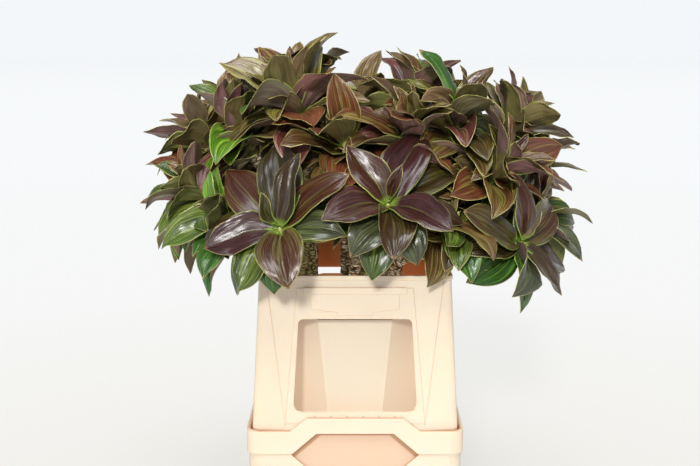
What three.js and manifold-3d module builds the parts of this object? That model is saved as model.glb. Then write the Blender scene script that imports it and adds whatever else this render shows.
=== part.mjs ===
// A crowd of dark-leaved rosettes on scaly canes, rooted in a tall bevelled pot that stands
// in a two-part cream plastic transport container: a bucket with hand-holds, and a tapered
// collar with framed windows. Millimetres, +Z up, front towards -Y, origin at the middle of
// the bucket's underside.

import * as THREE from "three";
import { mergeVertices } from "three/addons/utils/BufferGeometryUtils.js";
import Module from "manifold-3d";

const wasm = await Module();
wasm.setup();
const { Manifold, Mesh } = wasm;

// Driving dimensions
const GAP = 0.3; // left between pieces that touch
const WALL = 3;

const BUCKET = {
  // half width, half depth and height of each level of the outside, from the foot up
  outside: [
    [124, 174, 0],
    [139, 189, 150],
    [147, 197, 157],
    [147.5, 197.5, 198],
    [150, 200, 198],
    [150, 200, 230],
  ],
  floor: 4,
  corner: 18,
  ledge: 160, // the inside step that carries the collar
  skirtWall: 5.5,
  rim: 230,
  crest: 248.6, // the rim's raised middle, front and back
  crestHalf: 66,
  crestFootHalf: 89,
};

const HAND_HOLD = { top: 227, middle: 196.5, bottom: 166, narrowHalf: 53, wideHalf: 88 };

const COLLAR = {
  bottom: BUCKET.ledge + GAP,
  waist: 235,
  top: 445,
  // half width, half depth, half of the flat middle of the front, corner setback
  bottomSize: [143, 193, 94, 5],
  waistSize: [142, 192, 96, 5],
  topSize: [131, 184, 121, 1],
  corner: 8,
  lipHeight: 6,
  lipProud: 1.6,
};

const WINDOW = {
  bottom: 255,
  top: 385.5,
  bottomHalf: 84.5,
  topHalf: 77.5,
  bottomRadius: 13,
  topRadius: 8,
};
const FRAME = { bottom: 240, top: 428, bottomHalf: 96, topHalf: 79, proud: 1.5 };
const LABEL_LEDGE = { bottom: 420, top: 429, bottomHalf: 70, topHalf: 70, proud: 4 };
const CARD = {
  bottom: 399,
  top: 420.5,
  half: 60,
  tabHalf: 24,
  tabBottom: 390.5,
  slant: 4,
  proud: 2.4,
};

const POT = {
  bottom: BUCKET.floor + GAP,
  top: 379,
  bottomSize: [98, 145, 15], // half width, half depth, half of the front flat
  topSize: [118, 165, 51],
  wall: 2.5,
  floor: 4,
};
const SOIL_TOP = 363;

const CANE = { radius: 9, waist: 8.2, depth: 60, straightTo: 415, sides: 5, turns: 3, spacing: 25 };
// Where the canes rise: half width, half depth, the furthest that x and y may add up to, and
// the strip from one x to another that no cane stands in, so the back wall shows between them
const ROOT_FIELD = { halfX: 95, halfY: 130, corner: 182, strip: [-65, -13] };
const FAN_CENTRE = new THREE.Vector3(0, 0, 310); // the rosettes face away from this point
const CORE = { below: 42, above: 26, bottomRadius: 8.5, middleRadius: 8, topRadius: 4 };

const BLADE = {
  stations: [0, 0.35, 0.72, 1],
  petiole: 0.14, // width at the root, as a share of the widest
  rootRadius: 4.5, // how far from the rosette's axis the leaf starts, inside the core
  belly: 1.22, // above 1 moves the widest place towards the tip
  taper: 0.85,
  fold: THREE.MathUtils.degToRad(9), // how far each half stands up from the midrib's plane
  thick: 1.9,
  rootThick: 1.2, // added at the root
};

// How a leaf that has no room is tried again: turned aside, then nearer the axis and shorter
const TUCK = {
  ranks: 7,
  polarStep: 7,
  polarLeast: 14,
  bendStep: 0.07,
  lengthStep: 0.03,
  swings: [0, 14, -14, 28, -28],
};
const ROOM = { thick: 3.8, wide: 2.2, cane: 1.5, rim: 3 }; // kept free round a leaf

// Each rosette's heart x, y, z, its leaves' length, how many it has and the turn of its first leaf
const ROSETTES = [
  [-99, -225, 516, 120, 0, 0],
  [43, -215, 546, 120, 0, 0],
  [227, -150, 484, 115, 0, 0],
  [130, -172, 518, 94, 18, 52],
  [-82, -80, 668, 118, 18, 115],
  [-164, -62, 634, 106, 18, 119],
  [-214, 5, 610, 102, 18, 191],
  [-212, -72, 546, 104, 18, 210],
  [-15, -135, 620, 110, 18, 132],
  [-174, -135, 510, 98, 18, 221],
  [70, -125, 636, 108, 18, 96],
  [98, 5, 668, 106, 18, 32],
  [148, -75, 648, 106, 18, 4],
  [222, -35, 630, 100, 18, 30],
  [196, -112, 575, 106, 18, 23],
  [254, 25, 578, 98, 18, 358],
  [248, -62, 512, 102, 18, 300],
  [-85, 40, 682, 108, 14, 40],
  [12, 48, 658, 106, 14, 200],
  [-184, 78, 628, 106, 14, 75],
  [128, 100, 628, 108, 14, 160],
  [-222, 45, 508, 108, 14, 250],
  [226, 105, 528, 108, 14, 10],
  [-178, 150, 528, 110, 14, 95],
  [-70, 150, 596, 110, 14, 320],
  [40, 192, 558, 112, 14, 140],
  [148, 188, 512, 114, 14, 285],
  [-68, 222, 488, 114, 14, 65],
];

// The leaves of the three rosettes nearest the front, placed one by one:
// azimuth round the axis, angle from it, length, width, bend
const NEAR_LEAVES = [
  [
    [107, 80, 135, 52, 24],
    [142, 84, 130, 48, 26],
    [165, 102, 108, 42, 30],
    [185, 92, 125, 44, 34],
    [208, 78, 100, 44, 30],
    [297, 78, 100, 52, 40],
    [42, 76, 114, 46, 26],
    [358, 80, 94, 42, 30],
    [250, 90, 96, 46, 38],
    [78, 58, 100, 38, 20],
    [276, 98, 84, 42, 40],
    [20, 104, 112, 42, 30],
    [230, 108, 108, 42, 36],
    [120, 22, 50, 16, 16],
  ],
  [
    [87, 92, 125, 52, 22],
    [60, 78, 130, 50, 22],
    [30, 90, 130, 48, 28],
    [125, 66, 92, 40, 22],
    [201, 74, 104, 46, 34],
    [264, 80, 92, 50, 38],
    [312, 68, 104, 46, 34],
    [290, 94, 88, 46, 40],
    [232, 88, 92, 46, 36],
    [252, 108, 96, 44, 30],
    [350, 96, 104, 42, 30],
    [150, 100, 112, 44, 28],
    [180, 108, 104, 42, 30],
    [60, 24, 50, 16, 16],
  ],
  [
    [145, 88, 110, 46, 28],
    [168, 98, 105, 44, 30],
    [20, 76, 126, 42, 26],
    [222, 84, 100, 50, 40],
    [330, 88, 104, 48, 36],
    [192, 110, 100, 42, 30],
    [252, 102, 92, 34, 30],
    [52, 84, 108, 44, 26],
    [95, 58, 98, 42, 20],
    [282, 80, 90, 46, 36],
    [78, 98, 106, 42, 30],
    [120, 100, 104, 42, 30],
    [350, 104, 100, 40, 34],
    [110, 22, 50, 16, 16],
  ],
];

const NEAR_LIFT = 16; // how far above the heart an upright leaf leaves the core
const UPRIGHT = 60; // the angle from the axis at which a leaf leaves at the heart

const GROWTH = {
  seed: 4217,
  turn: 137.5,
  innerPolar: 16,
  outerPolar: 98,
  crowding: 0.82,
  innerLength: 0.5,
  fullLengthFrom: 0.3, // share of the way from the innermost leaf to the outermost
  widthShare: 0.42,
  innerBend: 10,
  outerBend: 42,
  topLift: 18, // how far above the heart the innermost leaf leaves the core
  rootLift: -34, // and the outermost, below it
  azimuthJitter: 14,
  polarJitter: 9,
  lengthJitter: 0.14,
  widthJitter: 0.2,
  twistJitter: 30,
};

const COLOURS = {
  plastic: "#f3e6cd",
  pot: "#e9c596",
  soil: "#4a3325",
  cane: "#9a7d5f",
  leaf: "#4a2e2b",
};

// Solids and meshes

function solid(geometry) {
  const bare = geometry.index ? geometry.clone() : geometry;
  bare.deleteAttribute("normal");
  bare.deleteAttribute("uv");
  const merged = mergeVertices(bare, 1e-4);
  return new Manifold(
    new Mesh({
      numProp: 3,
      vertProperties: new Float32Array(merged.attributes.position.array),
      triVerts: new Uint32Array(merged.index.array),
    }),
  );
}

// What fusing seals is filled and loose scraps are dropped: the largest shell is the body.
function soleBody(fused) {
  return fused.decompose().reduce((best, part) => (part.volume() > best.volume() ? part : best));
}

function geometryOf(manifold) {
  const mesh = manifold.getMesh();
  const geometry = new THREE.BufferGeometry();
  geometry.setAttribute("position", new THREE.BufferAttribute(mesh.vertProperties, 3));
  geometry.setIndex(new THREE.BufferAttribute(mesh.triVerts, 1));
  return geometry;
}

const plant = new THREE.Group();

function addPiece(name, manifold, colour, roughness) {
  const material = new THREE.MeshStandardMaterial({ color: colour, roughness, metalness: 0 });
  const mesh = new THREE.Mesh(geometryOf(manifold), material);
  mesh.name = name;
  plant.add(mesh);
}

// A closed solid through rings of equal point counts, each anticlockwise as seen from the
// next; the end rings are convex and closed by a fan.
function loft(rings) {
  const count = rings[0].length;
  const geometry = new THREE.BufferGeometry().setFromPoints(rings.flat());
  const index = [];
  for (let ring = 0; ring + 1 < rings.length; ring++) {
    for (let i = 0; i < count; i++) {
      const a = ring * count + i;
      const b = ring * count + ((i + 1) % count);
      index.push(a, b, b + count, a, b + count, a + count);
    }
  }
  const last = (rings.length - 1) * count;
  for (let i = 1; i + 1 < count; i++) {
    index.push(0, i + 1, i);
    index.push(last, last + i, last + i + 1);
  }
  geometry.setIndex(index);
  return solid(geometry);
}

// A level outline with rounded corners. Where a flat is given, the front and back are flat
// between its ends and the corners stand back from that plane by the setback.
function wallRing(halfX, halfY, z, radius, flat, setback = 0) {
  const points = [];
  const steps = 4;
  const corners = [[1, 1], [-1, 1], [-1, -1], [1, -1]];
  corners.forEach(([sx, sy], quarter) => {
    for (let i = 0; i <= steps; i++) {
      const angle = (quarter + i / steps) * (Math.PI / 2);
      points.push(
        new THREE.Vector3(
          sx * (halfX - radius) + radius * Math.cos(angle),
          sy * (halfY - setback - radius) + radius * Math.sin(angle),
          z,
        ),
      );
    }
    if (flat && quarter === 0) {
      points.push(new THREE.Vector3(flat, halfY, z), new THREE.Vector3(-flat, halfY, z));
    }
    if (flat && quarter === 2) {
      points.push(new THREE.Vector3(-flat, -halfY, z), new THREE.Vector3(flat, -halfY, z));
    }
  });
  return points;
}

// A rectangle with its corners bevelled at 45 degrees, moved inwards all round by the inset
function bevelRing([halfX, halfY, flatX], z, inset = 0) {
  const bevel = halfY + flatX - inset * Math.SQRT2;
  const x = halfX - inset;
  const y = halfY - inset;
  const outline = [
    [x, bevel - x], [bevel - y, y], [y - bevel, y], [-x, bevel - x],
    [-x, x - bevel], [y - bevel, -y], [bevel - y, -y], [x, x - bevel],
  ];
  return outline.map(([px, py]) => new THREE.Vector3(px, py, z));
}

function polygonShape(points) {
  return new THREE.Shape(points.map(([x, z]) => new THREE.Vector2(x, z)));
}

function trapezoidShape({ bottom, top, bottomHalf, topHalf }) {
  return polygonShape([[-bottomHalf, bottom], [bottomHalf, bottom], [topHalf, top], [-topHalf, top]]);
}

// The same with rounded corners, each a quarter wave through the corner's two tangent points
function roundedTrapezoid({ bottom, top, bottomHalf, topHalf, bottomRadius, topRadius }) {
  const shape = new THREE.Shape();
  shape.moveTo(-bottomHalf + bottomRadius, bottom);
  shape.lineTo(bottomHalf - bottomRadius, bottom);
  shape.quadraticCurveTo(bottomHalf, bottom, bottomHalf, bottom + bottomRadius);
  shape.lineTo(topHalf, top - topRadius);
  shape.quadraticCurveTo(topHalf, top, topHalf - topRadius, top);
  shape.lineTo(-topHalf + topRadius, top);
  shape.quadraticCurveTo(-topHalf, top, -topHalf, top - topRadius);
  shape.lineTo(-bottomHalf, bottom + bottomRadius);
  shape.quadraticCurveTo(-bottomHalf, bottom, -bottomHalf + bottomRadius, bottom);
  return shape;
}

// An upright outline (x across, y up) made into a plate from one depth to another, in front
function plate(shape, nearY, farY) {
  const geometry = new THREE.ExtrudeGeometry(shape, {
    depth: farY - nearY,
    bevelEnabled: false,
    curveSegments: 4,
  });
  geometry.rotateX(Math.PI / 2);
  geometry.translate(0, farY, 0);
  return solid(geometry);
}

function withTurned(part) {
  return part.add(part.rotate([0, 0, 180]));
}

// Container

function buildBucket() {
  const { outside, floor, corner, ledge, skirtWall, rim, crest, crestHalf, crestFootHalf } = BUCKET;
  const body = loft(outside.map(([x, y, z]) => wallRing(x, y, z, corner)));
  const [, step, , , , lip] = outside;
  const inner = corner - WALL;
  const hollow = loft([
    wallRing(outside[0][0] - WALL, outside[0][1] - WALL, floor, inner),
    wallRing(step[0] - WALL, step[1] - WALL, step[2], inner),
    wallRing(step[0] - WALL, step[1] - WALL, ledge, inner),
    wallRing(lip[0] - skirtWall, lip[1] - skirtWall, ledge, inner),
    wallRing(lip[0] - skirtWall, lip[1] - skirtWall, crest, inner),
  ]);
  const crestShape = polygonShape([
    [-crestFootHalf, rim - WALL],
    [crestFootHalf, rim - WALL],
    [crestFootHalf, rim],
    [crestHalf, crest],
    [-crestHalf, crest],
    [-crestFootHalf, rim],
  ]);
  const { top, middle, bottom, narrowHalf, wideHalf } = HAND_HOLD;
  const handHold = polygonShape([
    [-narrowHalf, bottom],
    [narrowHalf, bottom],
    [wideHalf, middle],
    [narrowHalf, top],
    [-narrowHalf, top],
    [-wideHalf, middle],
  ]);
  const crests = withTurned(plate(crestShape, -lip[1], -lip[1] + skirtWall));
  const handHolds = withTurned(plate(handHold, -lip[1] - WALL, -lip[1] + 2 * skirtWall));
  return body.subtract(hollow).add(crests).subtract(handHolds);
}

// How far in front of the middle the collar's front face stands at a height
function collarFace(z) {
  const share = (COLLAR.top - z) / (COLLAR.top - COLLAR.waist);
  return THREE.MathUtils.lerp(COLLAR.topSize[1], COLLAR.waistSize[1], share);
}

// A plate that follows the slope of the collar's front and stands proud of it
function facePlate(shape, proud) {
  const geometry = new THREE.ExtrudeGeometry(shape, {
    depth: proud + WALL / 2,
    bevelEnabled: false,
    curveSegments: 4,
  });
  geometry.rotateX(Math.PI / 2);
  const position = geometry.attributes.position;
  for (let i = 0; i < position.count; i++) {
    position.setY(i, position.getY(i) + WALL / 2 - collarFace(position.getZ(i)));
  }
  return solid(geometry);
}

function collarLoft(inset, bottom, top) {
  const { waist, bottomSize, waistSize, topSize, corner } = COLLAR;
  const level = ([x, y, flat, setback], z) =>
    wallRing(x - inset, y - inset, z, corner - inset, flat - inset, setback);
  return loft([level(bottomSize, bottom), level(waistSize, waist), level(topSize, top)]);
}

function buildCollar() {
  const { bottom, top, topSize, corner, lipHeight, lipProud } = COLLAR;
  const [x, y] = topSize;
  const lip = loft([
    wallRing(x + lipProud, y + lipProud, top - lipHeight, corner),
    wallRing(x + lipProud, y + lipProud, top, corner),
  ]);
  const hollow = collarLoft(WALL, bottom - GAP, top + GAP);
  const card = polygonShape([
    [-CARD.tabHalf, CARD.tabBottom],
    [CARD.tabHalf, CARD.tabBottom],
    [CARD.tabHalf, CARD.bottom - CARD.slant],
    [CARD.half, CARD.bottom],
    [CARD.half, CARD.top],
    [-CARD.half, CARD.top],
    [-CARD.half, CARD.bottom],
    [-CARD.tabHalf, CARD.bottom - CARD.slant],
  ]);
  const dressing = facePlate(trapezoidShape(FRAME), FRAME.proud)
    .add(facePlate(trapezoidShape(LABEL_LEDGE), LABEL_LEDGE.proud))
    .add(facePlate(card, CARD.proud));
  const reach = 3 * WALL;
  const opening = plate(
    roundedTrapezoid(WINDOW),
    -collarFace(WINDOW.bottom) - reach,
    -collarFace(WINDOW.top) + reach,
  );
  return collarLoft(0, bottom, top)
    .add(lip)
    .add(withTurned(dressing))
    .subtract(hollow)
    .subtract(withTurned(opening));
}

function potSizeAt(z) {
  const share = (z - POT.bottom) / (POT.top - POT.bottom);
  return POT.bottomSize.map((size, i) => THREE.MathUtils.lerp(size, POT.topSize[i], share));
}

function potRing(z, inset) {
  return bevelRing(potSizeAt(z), z, inset);
}

function buildPot() {
  const outside = loft([potRing(POT.bottom, 0), potRing(POT.top, 0)]);
  const inside = loft([potRing(POT.bottom + POT.floor, POT.wall), potRing(POT.top + WALL, POT.wall)]);
  return outside.subtract(inside);
}

function buildSoil(roots) {
  const inset = POT.wall + GAP;
  let soil = loft([potRing(POT.bottom + POT.floor + GAP, inset), potRing(SOIL_TOP, inset)]);
  for (const [x, y] of roots) {
    const hole = [SOIL_TOP - CANE.depth, SOIL_TOP + WALL].map((z) =>
      tubeRing(new THREE.Vector3(x, y, z), UP, RIGHT, CANE.radius + GAP / Math.cos(Math.PI / CANE.sides)),
    );
    soil = soil.subtract(loft(hole));
  }
  return soil;
}

// Canes

const UP = new THREE.Vector3(0, 0, 1);
const RIGHT = new THREE.Vector3(1, 0, 0);

// A many-sided ring round a centre, square to the direction it travels in
function tubeRing(centre, direction, across, radius) {
  const other = new THREE.Vector3().crossVectors(direction, across);
  return Array.from({ length: CANE.sides }, (_, i) => {
    const angle = (i * 2 * Math.PI) / CANE.sides;
    return centre
      .clone()
      .addScaledVector(across, radius * Math.cos(angle))
      .addScaledVector(other, radius * Math.sin(angle));
  });
}

const rosettes = ROSETTES.map(([x, y, z, length, count, turn], i) => {
  const heart = new THREE.Vector3(x, y, z);
  const axis = heart.clone().sub(FAN_CENTRE).normalize();
  const across = new THREE.Vector3().crossVectors(UP, axis).normalize();
  return {
    label: String(i + 1).padStart(2, "0"),
    heart,
    axis,
    across,
    rise: new THREE.Vector3().crossVectors(axis, across),
    length,
    count,
    turn,
    nearLeaves: NEAR_LEAVES[i],
    blades: [],
  };
});

// The nearest place in the field, on the side of the free strip that the cane belongs to
function inRootField([x, y], isLeft) {
  const { halfX, halfY, corner, strip } = ROOT_FIELD;
  const across = isLeft
    ? THREE.MathUtils.clamp(x, -halfX, strip[0])
    : THREE.MathUtils.clamp(x, strip[1], halfX);
  const reach = Math.min(halfY, corner - Math.abs(across));
  return [across, THREE.MathUtils.clamp(y, -reach, reach)];
}

// Each cane rises under its own rosette, nearer the middle the steeper the rosette stands,
// and the canes are then pushed apart until none is closer than the spacing.
function rootPlaces() {
  const { halfX, halfY, strip } = ROOT_FIELD;
  const middle = (strip[0] + strip[1]) / 2;
  const sides = rosettes.map(({ heart }) => heart.x < middle);
  const places = rosettes.map(({ axis }, i) => {
    const lean = Math.acos(axis.z) / THREE.MathUtils.degToRad(75) / Math.hypot(axis.x, axis.y);
    const [near, far] = sides[i] ? [strip[0], -halfX] : [strip[1], halfX];
    return [near + (far - near) * lean * Math.abs(axis.x), halfY * lean * axis.y];
  });
  for (let pass = 0; pass < 200; pass++) {
    for (let i = 0; i < places.length; i++) {
      for (let j = 0; j < i; j++) {
        const dx = places[i][0] - places[j][0];
        const dy = places[i][1] - places[j][1];
        const apart = Math.hypot(dx, dy);
        if (apart < CANE.spacing) {
          const push = (CANE.spacing - apart) / apart / 2;
          places[i] = [places[i][0] + dx * push, places[i][1] + dy * push];
          places[j] = [places[j][0] - dx * push, places[j][1] - dy * push];
        }
      }
      places[i] = inRootField(places[i], sides[i]);
    }
  }
  return places;
}

// The bent part of a cane, from upright below the rim to the rosette's own axis
function caneCurve({ heart, axis }, [x, y]) {
  const start = new THREE.Vector3(x, y, CANE.straightTo);
  const end = heart.clone().addScaledVector(axis, -CORE.below - GAP);
  const span = start.distanceTo(end);
  return new THREE.CubicBezierCurve3(
    start,
    start.clone().addScaledVector(UP, 0.4 * span),
    end.clone().addScaledVector(axis, -0.18 * span),
    end,
  );
}

function buildCane(curve, [x, y], margin = 0) {
  const rings = [SOIL_TOP - CANE.depth + GAP, SOIL_TOP].map((z) =>
    tubeRing(new THREE.Vector3(x, y, z), UP, RIGHT, CANE.radius + margin),
  );
  let across = RIGHT.clone();
  for (let i = 0; i <= CANE.turns; i++) {
    const direction = curve.getTangent(i / CANE.turns);
    across = across.addScaledVector(direction, -across.dot(direction)).normalize();
    const radius = margin + (i % 2 ? CANE.waist : CANE.radius);
    rings.push(tubeRing(curve.getPoint(i / CANE.turns), direction, across, radius));
  }
  return loft(rings);
}

// Leaves

let draw = GROWTH.seed;

// A repeatable random number from -0.5 to 0.5
function jitter() {
  draw = (1664525 * draw + 1013904223) % 4294967296;
  return draw / 4294967296 - 0.5;
}

function placedLeaves({ nearLeaves }) {
  return nearLeaves.map(([azimuth, polar, length, width, bend]) => ({
    azimuth, polar, length, width, bend, twist: 0, lift: NEAR_LIFT * (1 - polar / UPRIGHT),
  }));
}

// Leaves round a rosette from the innermost out, each a golden turn past the last
function grownLeaves({ length, count, turn }) {
  return Array.from({ length: count }, (_, i) => {
    const out = i / (count - 1);
    const { innerPolar, outerPolar, crowding, innerLength, fullLengthFrom } = GROWTH;
    const { innerBend, outerBend, topLift, rootLift } = GROWTH;
    const size = innerLength + (1 - innerLength) * Math.min(1, out / fullLengthFrom);
    const azimuth = turn + GROWTH.turn * i + GROWTH.azimuthJitter * jitter();
    const spread = (outerPolar - innerPolar) * out ** crowding;
    const polar = innerPolar + spread + GROWTH.polarJitter * jitter();
    const long = length * size * (1 + GROWTH.lengthJitter * jitter());
    const width = long * GROWTH.widthShare * (1 + GROWTH.widthJitter * jitter());
    const twist = GROWTH.twistJitter * jitter();
    const bend = innerBend + (outerBend - innerBend) * out;
    const lift = topLift + (rootLift - topLift) * out;
    return { azimuth, polar, length: long, width, bend, twist, lift };
  });
}

// The place and axes of a leaf's midrib at a share s of its length: an arc that starts on
// the core and bends away from the rosette's axis.
function midrib({ heart, axis, across, rise }, leaf, s) {
  const azimuth = THREE.MathUtils.degToRad(leaf.azimuth);
  const bend = THREE.MathUtils.degToRad(leaf.bend);
  const first = THREE.MathUtils.degToRad(leaf.polar) - bend / 2;
  const angle = first + bend * s;
  const outward = new THREE.Vector3()
    .addScaledVector(across, Math.cos(azimuth))
    .addScaledVector(rise, Math.sin(azimuth));
  const along = (leaf.length * (Math.sin(angle) - Math.sin(first))) / bend;
  const out = BLADE.rootRadius + (leaf.length * (Math.cos(first) - Math.cos(angle))) / bend;
  const place = heart.clone().addScaledVector(axis, leaf.lift + along).addScaledVector(outward, out);
  const direction = new THREE.Vector3()
    .addScaledVector(axis, Math.cos(angle))
    .addScaledVector(outward, Math.sin(angle));
  const twist = THREE.MathUtils.degToRad(leaf.twist) * s;
  const side = new THREE.Vector3().crossVectors(axis, outward).applyAxisAngle(direction, twist);
  return { place, side, face: new THREE.Vector3().crossVectors(side, direction).negate() };
}

function halfWidth(leaf, s) {
  const blade = Math.sin(Math.PI * Math.min(s, 1) ** BLADE.belly);
  return (leaf.width / 2) * (BLADE.petiole * (1 - s) ** 2 + Math.max(blade, 0) ** BLADE.taper);
}

// A point on the leaf's middle surface, from -1 at one margin to 1 at the other
function bladePoint({ place, side, face }, half, t) {
  return place
    .clone()
    .addScaledVector(side, half * t * Math.cos(BLADE.fold))
    .addScaledVector(face, half * Math.abs(t) * Math.sin(BLADE.fold));
}

// A closed solid through rows of as many points each, from a flat end to one point
function fan(rows, end) {
  const around = rows[0].length;
  const tip = rows.length * around;
  const index = [];
  for (let i = 1; i + 1 < around; i++) index.push(0, i, i + 1);
  for (let row = 0; row < rows.length; row++) {
    for (let i = 0; i < around; i++) {
      const a = row * around + i;
      const b = row * around + ((i + 1) % around);
      if (row + 1 < rows.length) index.push(a, b + around, b, a, a + around, b + around);
      else index.push(a, tip, b);
    }
  }
  const geometry = new THREE.BufferGeometry().setFromPoints([...rows.flat(), end]);
  geometry.setIndex(index);
  return solid(geometry);
}

// A leaf from one of its rows of points to the tip: flat above between its margins, with a
// keel below along the rib
function buildBlade(rosette, leaf, from = 0) {
  const rows = BLADE.stations.slice(from, -1).map((s) => {
    const rib = midrib(rosette, leaf, s);
    const half = halfWidth(leaf, s);
    const depth = BLADE.thick / 2 + BLADE.rootThick * (1 - s) ** 3;
    const keel = rib.place.clone().addScaledVector(rib.face, -depth);
    return [bladePoint(rib, half, -1), bladePoint(rib, half, 1), keel];
  });
  return fan(rows, midrib(rosette, leaf, 1).place);
}

// The space that a leaf needs to itself: the leaf made wider and thicker
function buildRoom(rosette, leaf, from = 0) {
  const rows = BLADE.stations.slice(from, -1).map((s) => {
    const rib = midrib(rosette, leaf, s);
    const half = halfWidth(leaf, s);
    const above = half * Math.sin(BLADE.fold) + ROOM.thick / 2;
    return [
      bladePoint(rib, half + ROOM.wide, -1),
      rib.place.clone().addScaledVector(rib.face, above),
      bladePoint(rib, half + ROOM.wide, 1),
      rib.place.clone().addScaledVector(rib.face, -ROOM.thick / 2),
    ];
  });
  return fan(rows, midrib(rosette, leaf, 1 + ROOM.wide / leaf.length).place);
}

function buildCore({ heart, axis, across }, margin = 0) {
  const { below, above, bottomRadius, middleRadius, topRadius } = CORE;
  const levels = [[-below, bottomRadius], [0, middleRadius], [above, topRadius]];
  const level = ([h, r]) => tubeRing(heart.clone().addScaledVector(axis, h), axis, across, r + margin);
  return loft(levels.map(level));
}

// A solid that leaves keep clear of, with its box for a quick first look
function obstacle(part, owner = null, outer = part) {
  const { min, max } = part.boundingBox();
  const box = new THREE.Box3(new THREE.Vector3(...min), new THREE.Vector3(...max));
  return { part, outer, owner, box };
}

const obstacles = [];

// Leaves of one rosette may touch where they leave the core, but not further out.
function hasRoom(rosette, leaf) {
  const room = obstacle(buildRoom(rosette, leaf), rosette, buildRoom(rosette, leaf, 1));
  return obstacles.every((other) => {
    if (!room.box.intersectsBox(other.box)) return true;
    const own = other.owner === rosette;
    return (own ? room.outer.intersect(other.outer) : room.part.intersect(other.part)).isEmpty();
  });
}

// A leaf with no room is raised towards the axis, turned aside, straightened and shortened
// until it has; one that never finds room isn't grown.
function tucked(rosette, leaf) {
  for (let rank = 0; rank < TUCK.ranks; rank++) {
    for (const swing of TUCK.swings) {
      const trial = {
        ...leaf,
        azimuth: leaf.azimuth + swing,
        polar: Math.max(leaf.polar - TUCK.polarStep * rank, Math.min(leaf.polar, TUCK.polarLeast)),
        bend: leaf.bend * (1 - TUCK.bendStep * rank),
        length: leaf.length * (1 - TUCK.lengthStep * rank),
      };
      if (hasRoom(rosette, trial)) return trial;
    }
  }
  return null;
}

function growLeaf(rosette, leaf) {
  const placed = tucked(rosette, leaf);
  if (!placed) return;
  const blade = buildBlade(rosette, placed);
  rosette.blades.push(blade);
  obstacles.push(obstacle(blade, rosette, buildBlade(rosette, placed, 1)));
}

// The rosettes placed leaf by leaf come first. The others then take turns, from their
// outermost leaves in.
function growRosettes() {
  const placed = rosettes.filter(({ nearLeaves }) => nearLeaves);
  const grown = rosettes.filter(({ nearLeaves }) => !nearLeaves);
  for (const rosette of placed) placedLeaves(rosette).forEach((leaf) => growLeaf(rosette, leaf));
  const waiting = grown.map((rosette) => [rosette, grownLeaves(rosette)]);
  for (let turn = 0; turn < Math.max(...grown.map(({ count }) => count)); turn++) {
    for (const [rosette, leaves] of waiting) {
      const leaf = leaves.pop();
      if (leaf) growLeaf(rosette, leaf);
    }
  }
}

// Assembly

const roots = rootPlaces();
const curves = rosettes.map((rosette, i) => caneCurve(rosette, roots[i]));
const collarSpace = [POT.top, COLLAR.top + ROOM.rim].map((z) =>
  wallRing(COLLAR.waistSize[0] + ROOM.rim, COLLAR.waistSize[1] + ROOM.rim, z, COLLAR.corner),
);
obstacles.push(obstacle(loft(collarSpace)));
rosettes.forEach((rosette, i) => {
  obstacles.push(obstacle(buildCane(curves[i], roots[i], ROOM.cane), rosette));
  obstacles.push(obstacle(buildCore(rosette, ROOM.cane), rosette));
});
growRosettes();

addPiece("bucket", buildBucket(), COLOURS.plastic, 0.4);
addPiece("collar", buildCollar(), COLOURS.plastic, 0.4);
addPiece("inner_pot", buildPot(), COLOURS.pot, 0.5);
addPiece("soil", buildSoil(roots), COLOURS.soil, 0.95);
rosettes.forEach((rosette, i) => {
  const crown = soleBody(Manifold.union([buildCore(rosette), ...rosette.blades]));
  addPiece(`cane_${rosette.label}`, buildCane(curves[i], roots[i]), COLOURS.cane, 0.8);
  addPiece(`crown_${rosette.label}`, crown, COLOURS.leaf, 0.35);
});

export default plant;
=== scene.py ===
"""Looks for a crowd of dark-leaved dracaenas in a two-part cream transport container.

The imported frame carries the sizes. Each class repeats the sizes of its own pieces from the
part's source, in millimetres, and builds the same pieces finer: bevelled plastic, scarred
canes and leaves with veins, waves and pale margins. Blender works in metres, +Z up, front
towards -Y.
"""

from __future__ import annotations

import logging
import math
import random
from dataclasses import dataclass, field, replace
from enum import Enum
from itertools import product
from typing import Any, Sequence, Union

import bmesh
import bpy
import numpy as np
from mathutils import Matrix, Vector
from mathutils.bvhtree import BVHTree
from mathutils.kdtree import KDTree


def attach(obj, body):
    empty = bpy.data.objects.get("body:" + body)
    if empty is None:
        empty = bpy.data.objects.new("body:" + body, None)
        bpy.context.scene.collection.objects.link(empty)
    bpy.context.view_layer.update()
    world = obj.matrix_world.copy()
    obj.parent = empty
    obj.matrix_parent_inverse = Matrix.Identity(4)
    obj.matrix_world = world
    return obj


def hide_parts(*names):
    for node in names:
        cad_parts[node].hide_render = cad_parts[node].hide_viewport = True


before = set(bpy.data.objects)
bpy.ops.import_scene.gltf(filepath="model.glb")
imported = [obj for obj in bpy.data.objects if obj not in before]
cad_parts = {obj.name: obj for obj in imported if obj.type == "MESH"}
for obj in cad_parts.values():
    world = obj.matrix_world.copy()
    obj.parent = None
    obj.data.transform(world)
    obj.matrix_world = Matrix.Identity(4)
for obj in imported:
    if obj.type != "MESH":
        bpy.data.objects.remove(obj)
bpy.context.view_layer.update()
LOG = logging.getLogger("potted_dracaena")

MM = 0.001
BODY = "root"
UP = np.array([0.0, 0.0, 1.0])

Colour = tuple[float, float, float]
Term = Union["Wire", float]


def paint(red: int, green: int, blue: int) -> Colour:
    """Turns a colour as a screen shows it into the linear values that shaders use.

    Args:
        red: red, 0 to 255.
        green: green, 0 to 255.
        blue: blue, 0 to 255.

    Returns:
        The same colour in linear light, 0 to 1.
    """
    shares = (value / 255 for value in (red, green, blue))
    return tuple(v / 12.92 if v <= 0.04045 else ((v + 0.055) / 1.055) ** 2.4 for v in shares)


def unit(vector: np.ndarray) -> np.ndarray:
    """Returns the vector at length one."""
    return vector / np.linalg.norm(vector)


# Shader maths


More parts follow.
